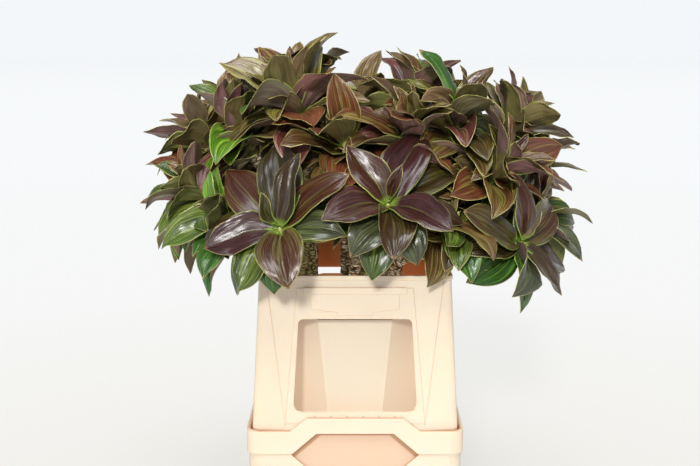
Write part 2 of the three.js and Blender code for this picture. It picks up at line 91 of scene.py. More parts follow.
class Wire:
    """A node's output, so that shader maths reads as Python expressions."""

    def __init__(self, bench: Bench, socket: bpy.types.NodeSocket) -> None:
        """Keeps the output and the material it belongs to.

        Args:
            bench: the material's workbench.
            socket: the output that the wire starts at.
        """
        self.bench = bench
        self.socket = socket

    def _maths(self, operation: str, *terms: Term) -> Wire:
        """Adds one Math node.

        Args:
            operation: the node's operation.
            terms: its inputs in order.

        Returns:
            The node's result.
        """
        made = self.bench.node("ShaderNodeMath", {"operation": operation}, dict(enumerate(terms)))
        return Wire(self.bench, made.outputs[0])

    def __add__(self, other: Term) -> Wire:
        """Returns the sum."""
        return self._maths("ADD", self, other)

    def __radd__(self, other: Term) -> Wire:
        """Returns the sum."""
        return self._maths("ADD", other, self)

    def __sub__(self, other: Term) -> Wire:
        """Returns the difference."""
        return self._maths("SUBTRACT", self, other)

    def __rsub__(self, other: Term) -> Wire:
        """Returns the difference the other way round."""
        return self._maths("SUBTRACT", other, self)

    def __mul__(self, other: Term) -> Wire:
        """Returns the product."""
        return self._maths("MULTIPLY", self, other)

    def __rmul__(self, other: Term) -> Wire:
        """Returns the product."""
        return self._maths("MULTIPLY", other, self)

    def __pow__(self, other: Term) -> Wire:
        """Returns the power."""
        return self._maths("POWER", self, other)

    def __abs__(self) -> Wire:
        """Returns the size without its sign."""
        return self._maths("ABSOLUTE", self)

    def sine(self) -> Wire:
        """Returns the sine."""
        return self._maths("SINE", self)

    def ramp(self, low: Term, high: Term) -> Wire:
        """Rises smoothly from 0 to 1.

        Args:
            low: where the result leaves 0.
            high: where it reaches 1.

        Returns:
            The smoothed share.
        """
        inputs = {"Value": self, "From Min": low, "From Max": high}
        made = self.bench.node("ShaderNodeMapRange", {"interpolation_type": "SMOOTHSTEP"}, inputs)
        return Wire(self.bench, made.outputs[0])


class Bench:
    """The workbench of one material or of the studio's air: its nodes, and those that many share."""

    def __init__(self, owner: bpy.types.Material | bpy.types.World) -> None:
        """Starts with no nodes.

        Args:
            owner: the new material or world.
        """
        self.owner = owner
        self.owner.use_nodes = True
        self.tree = self.owner.node_tree
        self.tree.nodes.clear()

    def node(self, kind: str, settings: dict[str, Any], inputs: dict[int | str, Any]) -> bpy.types.Node:
        """Adds one node.

        Args:
            kind: the node's type.
            settings: its settings by name, set first.
            inputs: values or wires by socket name or number.

        Returns:
            The node.
        """
        made = self.tree.nodes.new(kind)
        for name, value in settings.items():
            setattr(made, name, value)
        for key, value in inputs.items():
            if isinstance(value, Wire):
                self.tree.links.new(value.socket, made.inputs[key])
            elif isinstance(value, tuple) and made.inputs[key].type == "RGBA":
                made.inputs[key].default_value = (*value, 1.0)
            else:
                made.inputs[key].default_value = value
        return made

    def mark(self, name: str) -> Wire:
        """Returns a colour or vector mark that the mesh carries."""
        made = self.node("ShaderNodeAttribute", {"attribute_name": name}, {})
        return Wire(self, made.outputs["Color"])

    def place(self) -> Wire:
        """Returns the place on the piece, in metres."""
        return Wire(self, self.node("ShaderNodeTexCoord", {}, {}).outputs["Object"])

    def facing(self) -> Wire:
        """Returns the direction that is looked in, for the air."""
        return Wire(self, self.node("ShaderNodeTexCoord", {}, {}).outputs["Generated"])

    def split(self, vector: Wire) -> list[Wire]:
        """Returns the vector's three parts."""
        made = self.node("ShaderNodeSeparateXYZ", {}, {0: vector})
        return [Wire(self, output) for output in made.outputs]

    def join(self, x: Term, y: Term, z: Term) -> Wire:
        """Returns the vector of three parts."""
        return Wire(self, self.node("ShaderNodeCombineXYZ", {}, {0: x, 1: y, 2: z}).outputs[0])

    def stretched(self, where: Wire, factors: tuple[float, float, float]) -> Wire:
        """Returns the place with its three parts multiplied, which draws a texture out."""
        return self.join(*[part * factor for part, factor in zip(self.split(where), factors)])

    def noise(self, where: Wire, scale: float, detail: float = 2.0, rough: float = 0.5) -> Wire:
        """Adds a cloudy texture.

        Args:
            where: the place it is read at.
            scale: how fine it is.
            detail: how many finer layers it has.
            rough: how strong the finer layers are.

        Returns:
            A value near 0.5 that varies from place to place.
        """
        inputs = {"Vector": where, "Scale": scale, "Detail": detail, "Roughness": rough}
        return Wire(self, self.node("ShaderNodeTexNoise", {}, inputs).outputs[0])

    def mottle(self, x: Term, y: Term, z: Term, detail: float = 2.0, rough: float = 0.5) -> Wire:
        """Adds a cloudy texture that is read at three values instead of a place.

        Args:
            x: the first value.
            y: the second value.
            z: the third value.
            detail: how many finer layers it has.
            rough: how strong the finer layers are.

        Returns:
            A value near 0.5 that varies with them.
        """
        return self.noise(self.join(x, y, z), 1.0, detail, rough)

    def cells(self, where: Wire, scale: float, feature: str = "F1") -> Wire:
        """Adds a texture of cells.

        Args:
            where: the place it is read at.
            scale: how small the cells are.
            feature: which distance is read.

        Returns:
            The distance from the cell's centre or edge.
        """
        made = self.node("ShaderNodeTexVoronoi", {"feature": feature}, {"Vector": where, "Scale": scale})
        return Wire(self, made.outputs["Distance"])

    def blend(self, share: Term, first: Wire | Colour, second: Wire | Colour) -> Wire:
        """Mixes two colours.

        Args:
            share: 0 for the first colour, 1 for the second.
            first: a colour.
            second: a colour.

        Returns:
            The colour between.
        """
        made = self.node("ShaderNodeMix", {"data_type": "RGBA"}, {0: share, 6: first, 7: second})
        return Wire(self, made.outputs[2])

    def shaded(self, colour: Wire, level: Wire) -> Wire:
        """Returns the colour made lighter or darker by the level."""
        made = self.node("ShaderNodeVectorMath", {"operation": "SCALE"}, {0: colour, "Scale": level})
        return Wire(self, made.outputs[0])

    def relief(self, height: Wire, depth: float) -> Wire:
        """Turns a height into a bent surface normal.

        Args:
            height: the height, about 0 to 1.
            depth: what a height of 1 stands for, in metres.

        Returns:
            The normal.
        """
        made = self.node("ShaderNodeBump", {}, {"Strength": 1.0, "Distance": depth, "Height": height})
        return Wire(self, made.outputs[0])

    def surface(self, colour: Wire | Colour, roughness: Term, **sockets: Any) -> bpy.types.Material:
        """Closes the material with its surface shader.

        Args:
            colour: the base colour.
            roughness: the roughness.
            sockets: further inputs of the shader, underscores standing for spaces.

        Returns:
            The finished material.
        """
        inputs = {"Base Color": colour, "Roughness": roughness}
        inputs.update({name.replace("_", " "): value for name, value in sockets.items()})
        shader = self.node("ShaderNodeBsdfPrincipled", {}, inputs)
        out = self.node("ShaderNodeOutputMaterial", {}, {})
        self.tree.links.new(shader.outputs[0], out.inputs["Surface"])
        return self.owner

    def air(self, colour: Wire) -> bpy.types.World:
        """Closes the world with the light of its air.

        Args:
            colour: the light's colour by direction.

        Returns:
            The finished world.
        """
        light = self.node("ShaderNodeBackground", {}, {"Color": colour, "Strength": 1.0})
        out = self.node("ShaderNodeOutputWorld", {}, {})
        self.tree.links.new(light.outputs[0], out.inputs["Surface"])
        return self.owner


# Finishes


@dataclass(frozen=True)
class MouldedPlastic:
    """Cream polypropylene, a little cloudy and scuffed. Inward walls are painted orange, painted shade
    tinted like light that comes through the plastic, and the whole plastic glows faintly as painted fill
    light.

    Below sunk_below the wall that is seen through the bucket's hand-holds takes a pinkish painted shade,
    with a darker painted shadow line along each hold's top and slanted sides. slant says how a slanted side
    faces, outward and upward, and how far it lies from the bucket's foot. Below a height of their own the
    insides take a pale painted glow instead of orange. Sizes are in metres.
    """

    name: str
    colour: Colour
    deep: Colour
    # Orange painted on inward walls: painted shade, tinted like light that comes through the plastic
    inner: Colour
    roughness: float = 0.42
    dirt: Colour = paint(120, 92, 62)
    glow: float = 0.3
    # Faint glow over the whole plastic: painted fill light
    lit: float = 0.08
    # Pinkish painted shade of the wall seen through a hand-hold
    hold_shade: Colour = paint(197, 168, 143)
    sunk_below: float = 0.0
    # Painted shadow line along a hand-hold's top and slanted sides
    groove: Colour = paint(150, 108, 62)
    line_height: float = 0.0065
    slant: tuple[float, float, float] = (0.657, 0.754, 0.2005)
    # Pale glow of the low insides, the height below which it shows and its strength: painted light
    painted_glow: Colour = paint(236, 216, 196)
    painted_glow_below: float = 0.0
    painted_glow_light: float = 0.52

    def material(self) -> bpy.types.Material:
        """Builds the plastic.

        Returns:
            The material.
        """
        bench = Bench(bpy.data.materials.new(self.name))
        where = bench.place()
        side, _, height = bench.split(where)
        colour = self._in_hold(bench, self._worn(bench, where), side, height)
        # Inward walls take the orange painted shade; below their own height they take the pale painted glow
        # instead
        inside, _, _ = bench.split(bench.mark("inside"))
        painted_glow = inside * (1 - height.ramp(self.painted_glow_below - 0.03, self.painted_glow_below))
        inside = inside - painted_glow
        colour = bench.blend(inside * 0.85, colour, self.inner)
        grain = bench.noise(where, 900.0, 2.0)
        wear = bench.noise(where, 26.0, 4.0, 0.62)
        # The emission is painted light: faint and pale all over, orange on inward walls, stronger and pale
        # on the low insides
        light = bench.blend(inside, self.painted_glow, self.inner)
        return bench.surface(
            colour,
            self.roughness + wear.ramp(0.35, 0.75) * 0.14,
            Normal=bench.relief(grain + wear * 0.8, 0.00006),
            Subsurface_Weight=self.glow,
            Subsurface_Radius=Vector((0.018, 0.009, 0.004)),
            Subsurface_Scale=1.0,
            Specular_IOR_Level=0.45,
            Emission_Color=bench.shaded(light, painted_glow * self.painted_glow_light + self.lit),
            Emission_Strength=1.0,
        )

    def _worn(self, bench: Bench, where: Wire) -> Wire:
        """Clouds and streaks the plastic's colour and scuffs it in places.

        Args:
            bench: the material's workbench.
            where: the place on the piece.

        Returns:
            The colour.
        """
        cloud = bench.noise(where, 9.0, 3.0).ramp(0.3, 0.75)
        colour = bench.blend(cloud * 0.3, self.colour, self.deep)
        streak = bench.noise(bench.stretched(where, (1, 1, 0.06)), 160.0)
        colour = bench.blend(streak.ramp(0.55, 0.9) * 0.10, colour, self.deep)
        fleck = 1 - bench.cells(where, 34.0).ramp(0.02, 0.045)
        patch = bench.noise(where, 7.0).ramp(0.58, 0.7)
        return bench.blend(fleck * patch * 0.6, colour, self.dirt)

    def _in_hold(self, bench: Bench, colour: Wire, side: Wire, height: Wire) -> Wire:
        """Paints shade on the wall that is seen through a hand-hold, and a darker painted shadow line along
        the hold's edge.

        Args:
            bench: the material's workbench.
            colour: the colour elsewhere.
            side: how far to the side the place is, in metres.
            height: how high it is, in metres.

        Returns:
            The colour.
        """
        # Painted shade below the hold's top, then a painted shadow line along its top and slanted sides
        low = 1 - height.ramp(self.sunk_below - 0.004, self.sunk_below)
        colour = bench.blend(low * 0.9, colour, self.hold_shade)
        outward, upward, reach = self.slant
        clear = (self.sunk_below - self.line_height - height).ramp(0.001, 0.0035)
        clear = clear * (reach - abs(side) * outward - height * upward).ramp(0.0, 0.003)
        return bench.blend(low * (1 - clear) * 0.85, colour, self.groove)


@dataclass(frozen=True)
class PottingMix:
    """Dark, crumbly growing medium with pale fibres."""

    dark: Colour = paint(46, 33, 24)
    light: Colour = paint(92, 68, 46)
    fibre: Colour = paint(150, 124, 88)

    def material(self) -> bpy.types.Material:
        """Builds the growing medium's finish.

        Returns:
            The material.
        """
        bench = Bench(bpy.data.materials.new("potting_mix"))
        where = bench.place()
        crumb = bench.cells(where, 260.0)
        colour = bench.blend(bench.noise(where, 90.0, 5.0, 0.6).ramp(0.35, 0.7), self.dark, self.light)
        strand = bench.noise(bench.stretched(where, (1, 0.2, 1)), 420.0)
        colour = bench.blend(strand.ramp(0.66, 0.74) * 0.8, colour, self.fibre)
        return bench.surface(colour, 0.95, Normal=bench.relief(crumb, 0.0018), Specular_IOR_Level=0.2)


@dataclass(frozen=True)
class Bark:
    """A cane's skin: flat lens-shaped scars with dark edges, over beige, brown and rosy blotches, with
    painted light on each rounded scar and a faint painted glow.
    """

    name: str = "cane_bark"
    pale: Colour = paint(250, 236, 200)
    brown: Colour = paint(160, 124, 86)
    rosy: Colour = paint(222, 166, 156)
    moss: Colour = paint(178, 172, 108)
    crevice: Colour = paint(52, 38, 28)
    flatness: float = 2.7
    scars: float = 92.0
    # Faint glow of the bark: painted fill light for canes in the crowd's shade
    light: float = 0.2

    def material(self) -> bpy.types.Material:
        """Builds the bark.

        Returns:
            The material.
        """
        bench = Bench(bpy.data.materials.new(self.name))
        x, y, height = bench.split(bench.mark("cane_place"))
        # Height is drawn together, so the cells lie flat like the scars of old leaves
        where = bench.join(x, y, height * self.flatness)
        scar = bench.cells(where, self.scars, "DISTANCE_TO_EDGE").ramp(0.02, 0.17)
        patch = bench.noise(where, 60.0, 4.0, 0.62)
        colour = bench.blend(patch.ramp(0.42, 0.58), self.brown, self.pale)
        # Each cane is paler or darker than the next, with rosy or mossy clouds
        own = bench.mottle(0.0, 0.0, height * 0.6, 0.0)
        colour = bench.shaded(colour, own * 4.4 - 1.25)
        cloud = bench.noise(bench.join(x, y, height * 0.35), 14.0).ramp(0.4, 0.55)
        colour = bench.blend(own.ramp(0.5, 0.56) * cloud * 0.8, colour, self.rosy)
        colour = bench.blend((1 - own).ramp(0.5, 0.56) * cloud * 0.8, colour, self.moss)
        # Every scar is palest in its middle, painted light on a rounded scar, and dark in the crevice round
        # it, partly its own colour and partly painted shade
        colour = bench.shaded(colour, 1.3 - bench.cells(where, self.scars).ramp(0.1, 0.6) * 0.6)
        colour = bench.blend((1 - scar) * 0.95, colour, self.crevice)
        grain = bench.noise(where, 480.0, 3.0)
        relief = bench.relief(scar * 0.8 + grain * 0.3, 0.0012)
        # The bark glows faintly in its own colour: painted fill light
        return bench.surface(
            colour,
            0.7,
            Normal=relief,
            Specular_IOR_Level=0.3,
            Emission_Color=colour,
            Emission_Strength=self.light,
        )


@dataclass(frozen=True)
class Shoot:
    """A rosette's stem: smooth and pale green, ringed where old leaves clasped it."""

    name: str = "green_shoot"
    green: Colour = paint(140, 152, 74)
    cream: Colour = paint(196, 182, 128)
    ring: Colour = paint(112, 84, 52)

    def material(self) -> bpy.types.Material:
        """Builds the stem's skin.

        Returns:
            The material.
        """
        bench = Bench(bpy.data.materials.new(self.name))
        x, y, height = bench.split(bench.mark("cane_place"))
        tip, _, _ = bench.split(bench.mark("leaf_kind"))
        where = bench.join(x, y, height)
        cloud = bench.noise(where, 60.0, 3.0)
        colour = bench.blend(cloud.ramp(0.35, 0.7), self.green, self.cream)
        # The rings stop where the rolled young leaf begins
        sheath = (height * 900 + cloud * 3).sine().ramp(0.72, 1.0) * (1 - tip)
        colour = bench.blend(sheath * 0.75, colour, self.ring)
        return bench.surface(colour, 0.45, Normal=bench.relief(1 - sheath, 0.0006), Specular_IOR_Level=0.4)


@dataclass(frozen=True)
class LeafSkin:
    """A leaf's two faces: streaked along the veins, pale at the margin, green at the root."""

    margin: Colour = paint(192, 184, 106)
    root: Colour = paint(136, 166, 58)
    rib: Colour = paint(104, 108, 52)
    under: Colour = paint(164, 128, 130)
    under_green: Colour = paint(134, 128, 82)
    dry: Colour = paint(168, 132, 88)

    def material(self) -> bpy.types.Material:
        """Builds the leaf's skin.

        The mesh marks where a point lies: along the leaf, across it from -1 to 1 and how many
        millimetres from the margin. It also says which face it is on, how streaked the leaf is
        and a number of the leaf's own.

        Returns:
            The material.
        """
        bench = Bench(bpy.data.materials.new("leaf_skin"))
        along, across, margin = bench.split(bench.mark("leaf_place"))
        under, streaked, own = bench.split(bench.mark("leaf_kind"))
        base, stripe = bench.mark("leaf_base"), bench.mark("leaf_stripe")
        # Streaks in three widths follow the veins and differ on the two sides of the rib
        out = abs(across)
        vein = out - along * 0.3
        half = across.ramp(-0.01, 0.01) * 7.0
        broad = bench.mottle(vein * 4.0, along * 0.7, own * 37.0 + half)
        narrow = bench.mottle(vein * 10.0, along * 0.9, own * 53.0 + half, rough=0.6)
        fine = bench.mottle(vein * 25.0, along * 1.6, own * 71.0 + half)
        level = broad * 0.5 + narrow * 0.5 + fine * 0.45 + streaked * 0.4 - along * 0.06
        colour = bench.blend(level.ramp(0.86, 1.0), base, stripe)
        # Lighter and darker blotches and veins, then the rib
        blotch = bench.mottle(along * 3.0, across * 1.6, own * 19.0)
        colour = bench.shaded(colour, blotch * 0.8 + fine * 1.1 + narrow * 1.2 - 0.65)
        colour = bench.blend((1 - out.ramp(0.012, 0.06)) * (0.6 - along * 0.5), colour, self.rib)
        # Undersides are pinkish on some leaves and olive on others
        mossy = bench.mottle(own * 61.0, 0.5, 0.5, 0.0).ramp(0.4, 0.6)
        colour = bench.blend(under * 0.5, colour, bench.blend(mossy, self.under, self.under_green))
        # Green at the root, a thin pale margin, and a dry tip on some leaves
        heel = 1 - along.ramp(0.01, 0.13)
        colour = bench.blend(heel * 0.7, colour, self.root)
        rim = 1 - (margin * (0.3 + along * 0.7)).ramp(0.4, 1.2)
        edging = bench.blend(along.ramp(0.15, 0.7), self.root, self.margin)
        colour = bench.blend(rim * (0.5 + own * 0.45), colour, edging)
        dry = along.ramp(0.93, 0.99) * bench.mottle(own * 97.0, across, along * 9.0).ramp(0.5, 0.6)
        colour = bench.blend(dry * 0.8, colour, self.dry)
        # The skin is puckered between the veins and duller on the underside
        pucker = bench.mottle(along * 3.5, across * 3.0, own * 91.0, 1.0)
        bumps = pucker * 1.5 + narrow * 0.3 + fine * 0.07
        gloss = 0.19 + fine * 0.22 + under * 0.14
        return bench.surface(
            colour,
            gloss,
            Normal=bench.relief(bumps, 0.002),
            Specular_IOR_Level=0.46,
            Coat_Weight=0.24,
            Coat_Roughness=0.22,
        )


@dataclass(frozen=True)
class StudioWhite:
    """The studio's pale floor, a little warmer and dimmer near the bucket: painted warm bounce light and
    soft shade.
    """

    colour: Colour = (0.15, 0.155, 0.16)
    # Warmer near the bucket: painted bounce light
    near: Colour = (0.155, 0.15, 0.14)
    near_bounce_glow: Colour = (0.665, 0.655, 0.625)
    lift: Colour = (0.70, 0.71, 0.705)
    far_lift: Colour = (0.662, 0.673, 0.682)

    def material(self) -> bpy.types.Material:
        """Builds the floor's finish.

        Returns:
            The material.
        """
        bench = Bench(bpy.data.materials.new("studio_white"))
        x, y, _ = bench.split(bench.place())
        reach = (x * x + y * y) ** 0.5
        cloud = bench.noise(bench.place(), 0.6) * 0.6
        colour = bench.blend((reach + cloud).ramp(0.8, 6.0), self.near, self.colour)
        # Near the bucket the floor's glow is warmer and dimmer: painted warm bounce light and soft shade
        lift = bench.blend(reach.ramp(0.2, 1.9), self.near_bounce_glow, self.lift)
        lift = bench.blend(reach.ramp(5.0, 40.0), lift, self.far_lift)
        return bench.surface(colour, 0.9, Emission_Color=lift, Emission_Strength=1.0)


# Meshes


def placed(name: str, data: bpy.types.ID) -> bpy.types.Object:
    """Adds an object to the scene.

    Args:
        name: its name.
        data: the mesh, lamp or camera that it shows.

    Returns:
        The object.
    """
    item = bpy.data.objects.new(name, data)
    bpy.context.scene.collection.objects.link(item)
    return item


@dataclass
class Sketch:
    """Points, faces and marks gathered for one mesh, in millimetres."""

    points: list[np.ndarray] = field(default_factory=list)
    faces: list[list[int]] = field(default_factory=list)
    slots: list[int] = field(default_factory=list)
    marks: dict[str, list[np.ndarray]] = field(default_factory=dict)
    count: int = 0

    def tube(self, rings: np.ndarray, slot: int = 0, **marks: np.ndarray) -> None:
        """Adds a closed skin through rings of points, with a face over each end.

        Args:
            rings: rings of points, rows by points by three.
            slot: which of the piece's finishes it takes.
            marks: three numbers for each point, by the mark's name.
        """
        rows, around, _ = rings.shape
        ids = self.count + np.arange(rows * around).reshape(rows, around)
        near, far = ids[:-1], ids[1:]
        turned, far_turned = np.roll(near, -1, axis=1), np.roll(far, -1, axis=1)
        quads = np.stack([near, turned, far_turned, far], axis=-1).reshape(-1, 4).tolist()
        quads += [ids[0][::-1].tolist(), ids[-1].tolist()]
        self.faces += quads
        self.slots += [slot] * len(quads)
        self.points.append(rings.reshape(-1, 3))
        for name, values in marks.items():
            shaped = np.broadcast_to(values, (rows, around, 3)).reshape(-1, 3)
            self.marks.setdefault(name, []).append(shaped)
        self.count += rows * around

    def piece(self, name: str, finishes: Sequence[bpy.types.Material]) -> bpy.types.Object:
        """Makes the mesh and its object.

        Args:
            name: the piece's name.
            finishes: its materials in order.

        Returns:
            The smooth-shaded piece.
        """
        mesh = bpy.data.meshes.new(name)
        mesh.from_pydata((np.concatenate(self.points) * MM).tolist(), [], self.faces)
        for mark, parts in self.marks.items():
            layer = mesh.attributes.new(mark, "FLOAT_VECTOR", "POINT")
            layer.data.foreach_set("vector", np.concatenate(parts).astype(np.float32).ravel())
        for finish in finishes:
            mesh.materials.append(finish)
        mesh.polygons.foreach_set("material_index", self.slots)
        mesh.shade_smooth()
        mesh.update()
        return placed(name, mesh)


def settle(piece: bpy.types.Object, node: str) -> None:
    """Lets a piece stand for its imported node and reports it.

    Args:
        piece: the piece.
        node: the node that it replaces.
    """
    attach(piece, BODY)
    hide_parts(node)
    LOG.info("%s stands for %s with %d faces", piece.name, node, len(piece.data.polygons))


# Container


@dataclass
class MouldedShell:
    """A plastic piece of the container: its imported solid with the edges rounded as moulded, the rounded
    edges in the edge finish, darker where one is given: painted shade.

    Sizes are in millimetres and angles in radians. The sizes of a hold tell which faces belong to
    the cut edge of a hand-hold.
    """

    node: str
    name: str
    finish: MouldedPlastic
    slot: str
    # Darker finish for the rounded edges: painted shade
    edge: MouldedPlastic | None = None
    rounding: float = 0.42
    flat: float = math.radians(0.4)
    crease: float = math.radians(28)
    facet: float = math.radians(2)
    corner_step: float = math.radians(14)
    sharpest: float = math.radians(50)
    inward: float = -0.3
    hold_half: float = 92.0
    hold_out: float = 190.0
    hold_heights: tuple[float, float] = (160.0, 228.0)

    def build(self) -> None:
        """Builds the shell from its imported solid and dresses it."""
        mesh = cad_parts[self.node].data.copy()
        mesh.materials.clear()
        for finish in (self.finish, self.edge or self.finish):
            mesh.materials.append(finish.material())
        shell = placed(self.name, mesh)
        work = bmesh.new()
        work.from_mesh(mesh)
        self._round(work)
        self._mark_inside(work)
        self._shade(work)
        work.to_mesh(mesh)
        work.free()
        shell.modifiers.new("even_shading", "WEIGHTED_NORMAL").keep_sharp = True
        settle(shell, self.node)

    def _round(self, work: bmesh.types.BMesh) -> None:
        """Joins the solid's flat faces and rounds its sharp edges.

        Args:
            work: the shell's mesh.
        """
        bmesh.ops.remove_doubles(work, verts=work.verts, dist=2e-6)
        bmesh.ops.dissolve_limit(work, angle_limit=self.flat, verts=work.verts, edges=work.edges)
        sharp = [edge for edge in work.edges if edge.is_manifold and edge.calc_face_angle() > self.crease]
        # The rounded edges take the second, darker finish: painted shade along them
        bmesh.ops.bevel(
            work, geom=sharp, offset=self.rounding * MM, segments=2, profile=0.5, affect="EDGES",
            clamp_overlap=False, material=1,
        )

    def _mark_inside(self, work: bmesh.types.BMesh) -> None:
        """Marks the walls that face inwards and the cut edges of the bucket's hand-holds, which the plastic
        paints with its orange painted shade or pale painted glow.

        Args:
            work: the shell's mesh.
        """
        inside = work.verts.layers.float_vector.new("inside")
        for face in work.faces:
            middle = face.calc_center_median()
            level = Vector((middle.x, middle.y, 0))
            if self._in_hold(face, middle) or face.normal.dot(level) < self.inward * level.length:
                for corner in face.verts:
                    corner[inside] = (1, 0, 0)

    def _in_hold(self, face: bmesh.types.BMFace, middle: Vector) -> bool:
        """Says whether a face belongs to the cut edge of a hand-hold.

        Args:
            face: the face.
            middle: its middle, in metres.

        Returns:
            Whether it does.
        """
        low, high = self.hold_heights
        cut = abs(face.normal.y) < 0.6 and abs(middle.y) > self.hold_out * MM
        near = abs(middle.x) < self.hold_half * MM and low * MM < middle.z < high * MM
        return self.node == "bucket" and cut and near

    def _shade(self, work: bmesh.types.BMesh) -> None:
        """Shades the shell smooth, but keeps its facets' edges and its sharpest corners crisp.

        Args:
            work: the shell's mesh.
        """
        for face in work.faces:
            face.smooth = True
        for edge in work.edges:
            turn = edge.calc_face_angle() if edge.is_manifold else math.pi
            edge.smooth = not self.facet < turn < self.corner_step and turn < self.sharpest


@dataclass
class CollarMarks:
    """The collar's finest marks: six moulded dots under the window, and thin darker lines of painted shade
    where its facets meet.
    """

    spacing: float = 22.0
    count: int = 6
    height: float = 249.5
    radius: float = 1.25
    dome: tuple[tuple[float, float], ...] = ((1.0, -0.4), (1.0, 1.6), (0.8, 1.95), (0.3, 2.05))
    face_at_waist: float = 192.0
    waist: float = 235.0
    face_at_top: float = 184.0
    top: float = 445.0
    facet_line_at_waist: float = 96.0
    facet_line_at_top: float = 121.0
    facet_line_width: float = 0.5

    def _share(self, height: float) -> float:
        """Returns how far up the collar's tapered part a height is, from 0 to 1."""
        return (height - self.waist) / (self.top - self.waist)

    def _face(self, height: float) -> float:
        """Returns how far out the collar's front stands at a height."""
        return self.face_at_waist + self._share(height) * (self.face_at_top - self.face_at_waist)

    def _facet_shade_lines(self, finish: bpy.types.Material) -> bpy.types.Object:
        """Builds four thin darker lines, painted shade of the creases where the facets meet the flat middle
        of front and back.

        Args:
            finish: the darker plastic of the lines.

        Returns:
            The lines as one piece.
        """
        sketch = Sketch()
        angles = np.linspace(0, 2 * math.pi, 8, endpoint=False)
        spokes = np.stack([np.cos(angles), np.sin(angles), np.zeros(8)], axis=-1) * self.facet_line_width
        heights = np.linspace(self.waist + 1, self.top - 7, 30)
        for side, hand in product((-1, 1), repeat=2):
            rings = []
            for height in heights:
                out = self.facet_line_at_waist + self._share(height) * (self.facet_line_at_top - self.facet_line_at_waist)
                rings.append(np.array([hand * out, side * (self._face(height) - 0.1), height]) + spokes)
            sketch.tube(np.array(rings))
        return sketch.piece("collar_facet_shade_lines", [finish])

    def _dots(self, finish: bpy.types.Material) -> bpy.types.Object:
        """Builds the low round dots, in a row on the front and, turned round, on the back.

        Args:
            finish: the plastic of the dots.

        Returns:
            The dots as one piece.
        """
        sketch = Sketch()
        face = self._face(self.height)
        angles = np.linspace(0, 2 * math.pi, 12, endpoint=False)
        for side, i in product((-1, 1), range(self.count)):
            x = (i - (self.count - 1) / 2) * self.spacing
            turn = angles * side
            rings = [
                np.stack([
                    x + self.radius * share * np.cos(turn),
                    np.full(12, side * (face + proud)),
                    self.height - self.radius * share * np.sin(turn),
                ], axis=-1)
                for share, proud in self.dome
            ]
            sketch.tube(np.array(rings))
        return sketch.piece("collar_dots", [finish])

    def build(self, edge: MouldedPlastic) -> None:
        """Builds the dots and the painted shade lines and dresses them.

        Args:
            edge: the darker plastic of the collar's edges, painted shade, which the lines take.
        """
        deep = paint(190, 140, 96)
        finish = MouldedPlastic("dot_plastic", paint(206, 164, 120), deep, deep)
        for piece in (self._dots(finish.material()), self._facet_shade_lines(edge.material())):
            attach(piece, BODY)
            LOG.info("%s with %d faces", piece.name, len(piece.data.polygons))


@dataclass
class SoilBed:
    """The growing medium: a bevelled block with a crumbled top, inside the inner pot."""

    bottom: float = 8.6
    top: float = 363.0
    bottom_size: tuple[float, float, float] = (95.0, 142.0, 16.0)
    top_size: tuple[float, float, float] = (113.8, 160.8, 51.0)
    side_points: int = 12
    crumb: float = 3.2
    drift: float = 1.2
    seed: int = 11

    def _outline(self, size: tuple[float, float, float]) -> np.ndarray:
        """Lays out the bevelled outline, anticlockwise, with extra points on each side.

        Args:
            size: half the width, half the depth and half the flat middle of the front.

        Returns:
            The points, rows of x and y.
        """
        x, y, flat = size
        bevel = y + flat
        corners = np.array([
            (x, bevel - x), (bevel - y, y), (y - bevel, y), (-x, bevel - x),
            (-x, x - bevel), (y - bevel, -y), (bevel - y, -y), (x, x - bevel),
        ])
        shares = np.linspace(0, 1, self.side_points, endpoint=False)[:, None]
        sides = [a + (b - a) * shares for a, b in zip(corners, np.roll(corners, -1, axis=0))]
        return np.concatenate(sides)

    def build(self) -> None:
        """Builds the block and dresses it."""
        draw = np.random.default_rng(self.seed)
        low, high = self._outline(self.bottom_size), self._outline(self.top_size)
        rings = []
        for share in (0.0, 0.3, 0.6, 0.9, 1.0):
            height = np.full(len(low), self.bottom + (self.top - self.bottom) * share)
            rings.append(np.column_stack([low + (high - low) * share, height]))
        for inward in np.linspace(0.96, 0.04, 22):
            ring = np.column_stack([high * inward, np.full(len(high), self.top)])
            ring[:, 2] -= draw.uniform(0.0, self.crumb, len(high)) * min(1.0, (1 - inward) * 8)
            ring[:, :2] += draw.uniform(-self.drift, self.drift, (len(high), 2)) * inward
            rings.append(ring)
        sketch = Sketch()
        sketch.tube(np.array(rings))
        settle(sketch.piece("potting_mix_bed", [PottingMix().material()]), "soil")


# Plants


@dataclass(frozen=True)
class Tone:
    """A leaf's two colours and how much of the second shows."""

    base: Colour
    stripe: Colour
    streaked: float


class LeafTone(Enum):
    """The kinds of leaf in the crowd, by colour."""

    OLIVE = Tone(paint(60, 47, 22), paint(90, 88, 34), 0.5)
    CHOCOLATE = Tone(paint(68, 46, 25), paint(88, 84, 38), 0.5)
    WINE = Tone(paint(80, 40, 25), paint(90, 82, 38), 0.5)
    PLUM = Tone(paint(74, 36, 34), paint(84, 66, 46), 0.38)
    RUST = Tone(paint(90, 49, 29), paint(90, 82, 40), 0.52)
    TAWNY = Tone(paint(84, 64, 42), paint(96, 92, 52), 0.5)
    SAGE = Tone(paint(62, 66, 42), paint(88, 96, 58), 0.5)
    FERN = Tone(paint(62, 82, 28), paint(106, 120, 48), 0.5)
    FOREST = Tone(paint(46, 84, 24), paint(82, 120, 40), 0.45)
    LIME = Tone(paint(82, 126, 28), paint(120, 152, 46), 0.5)


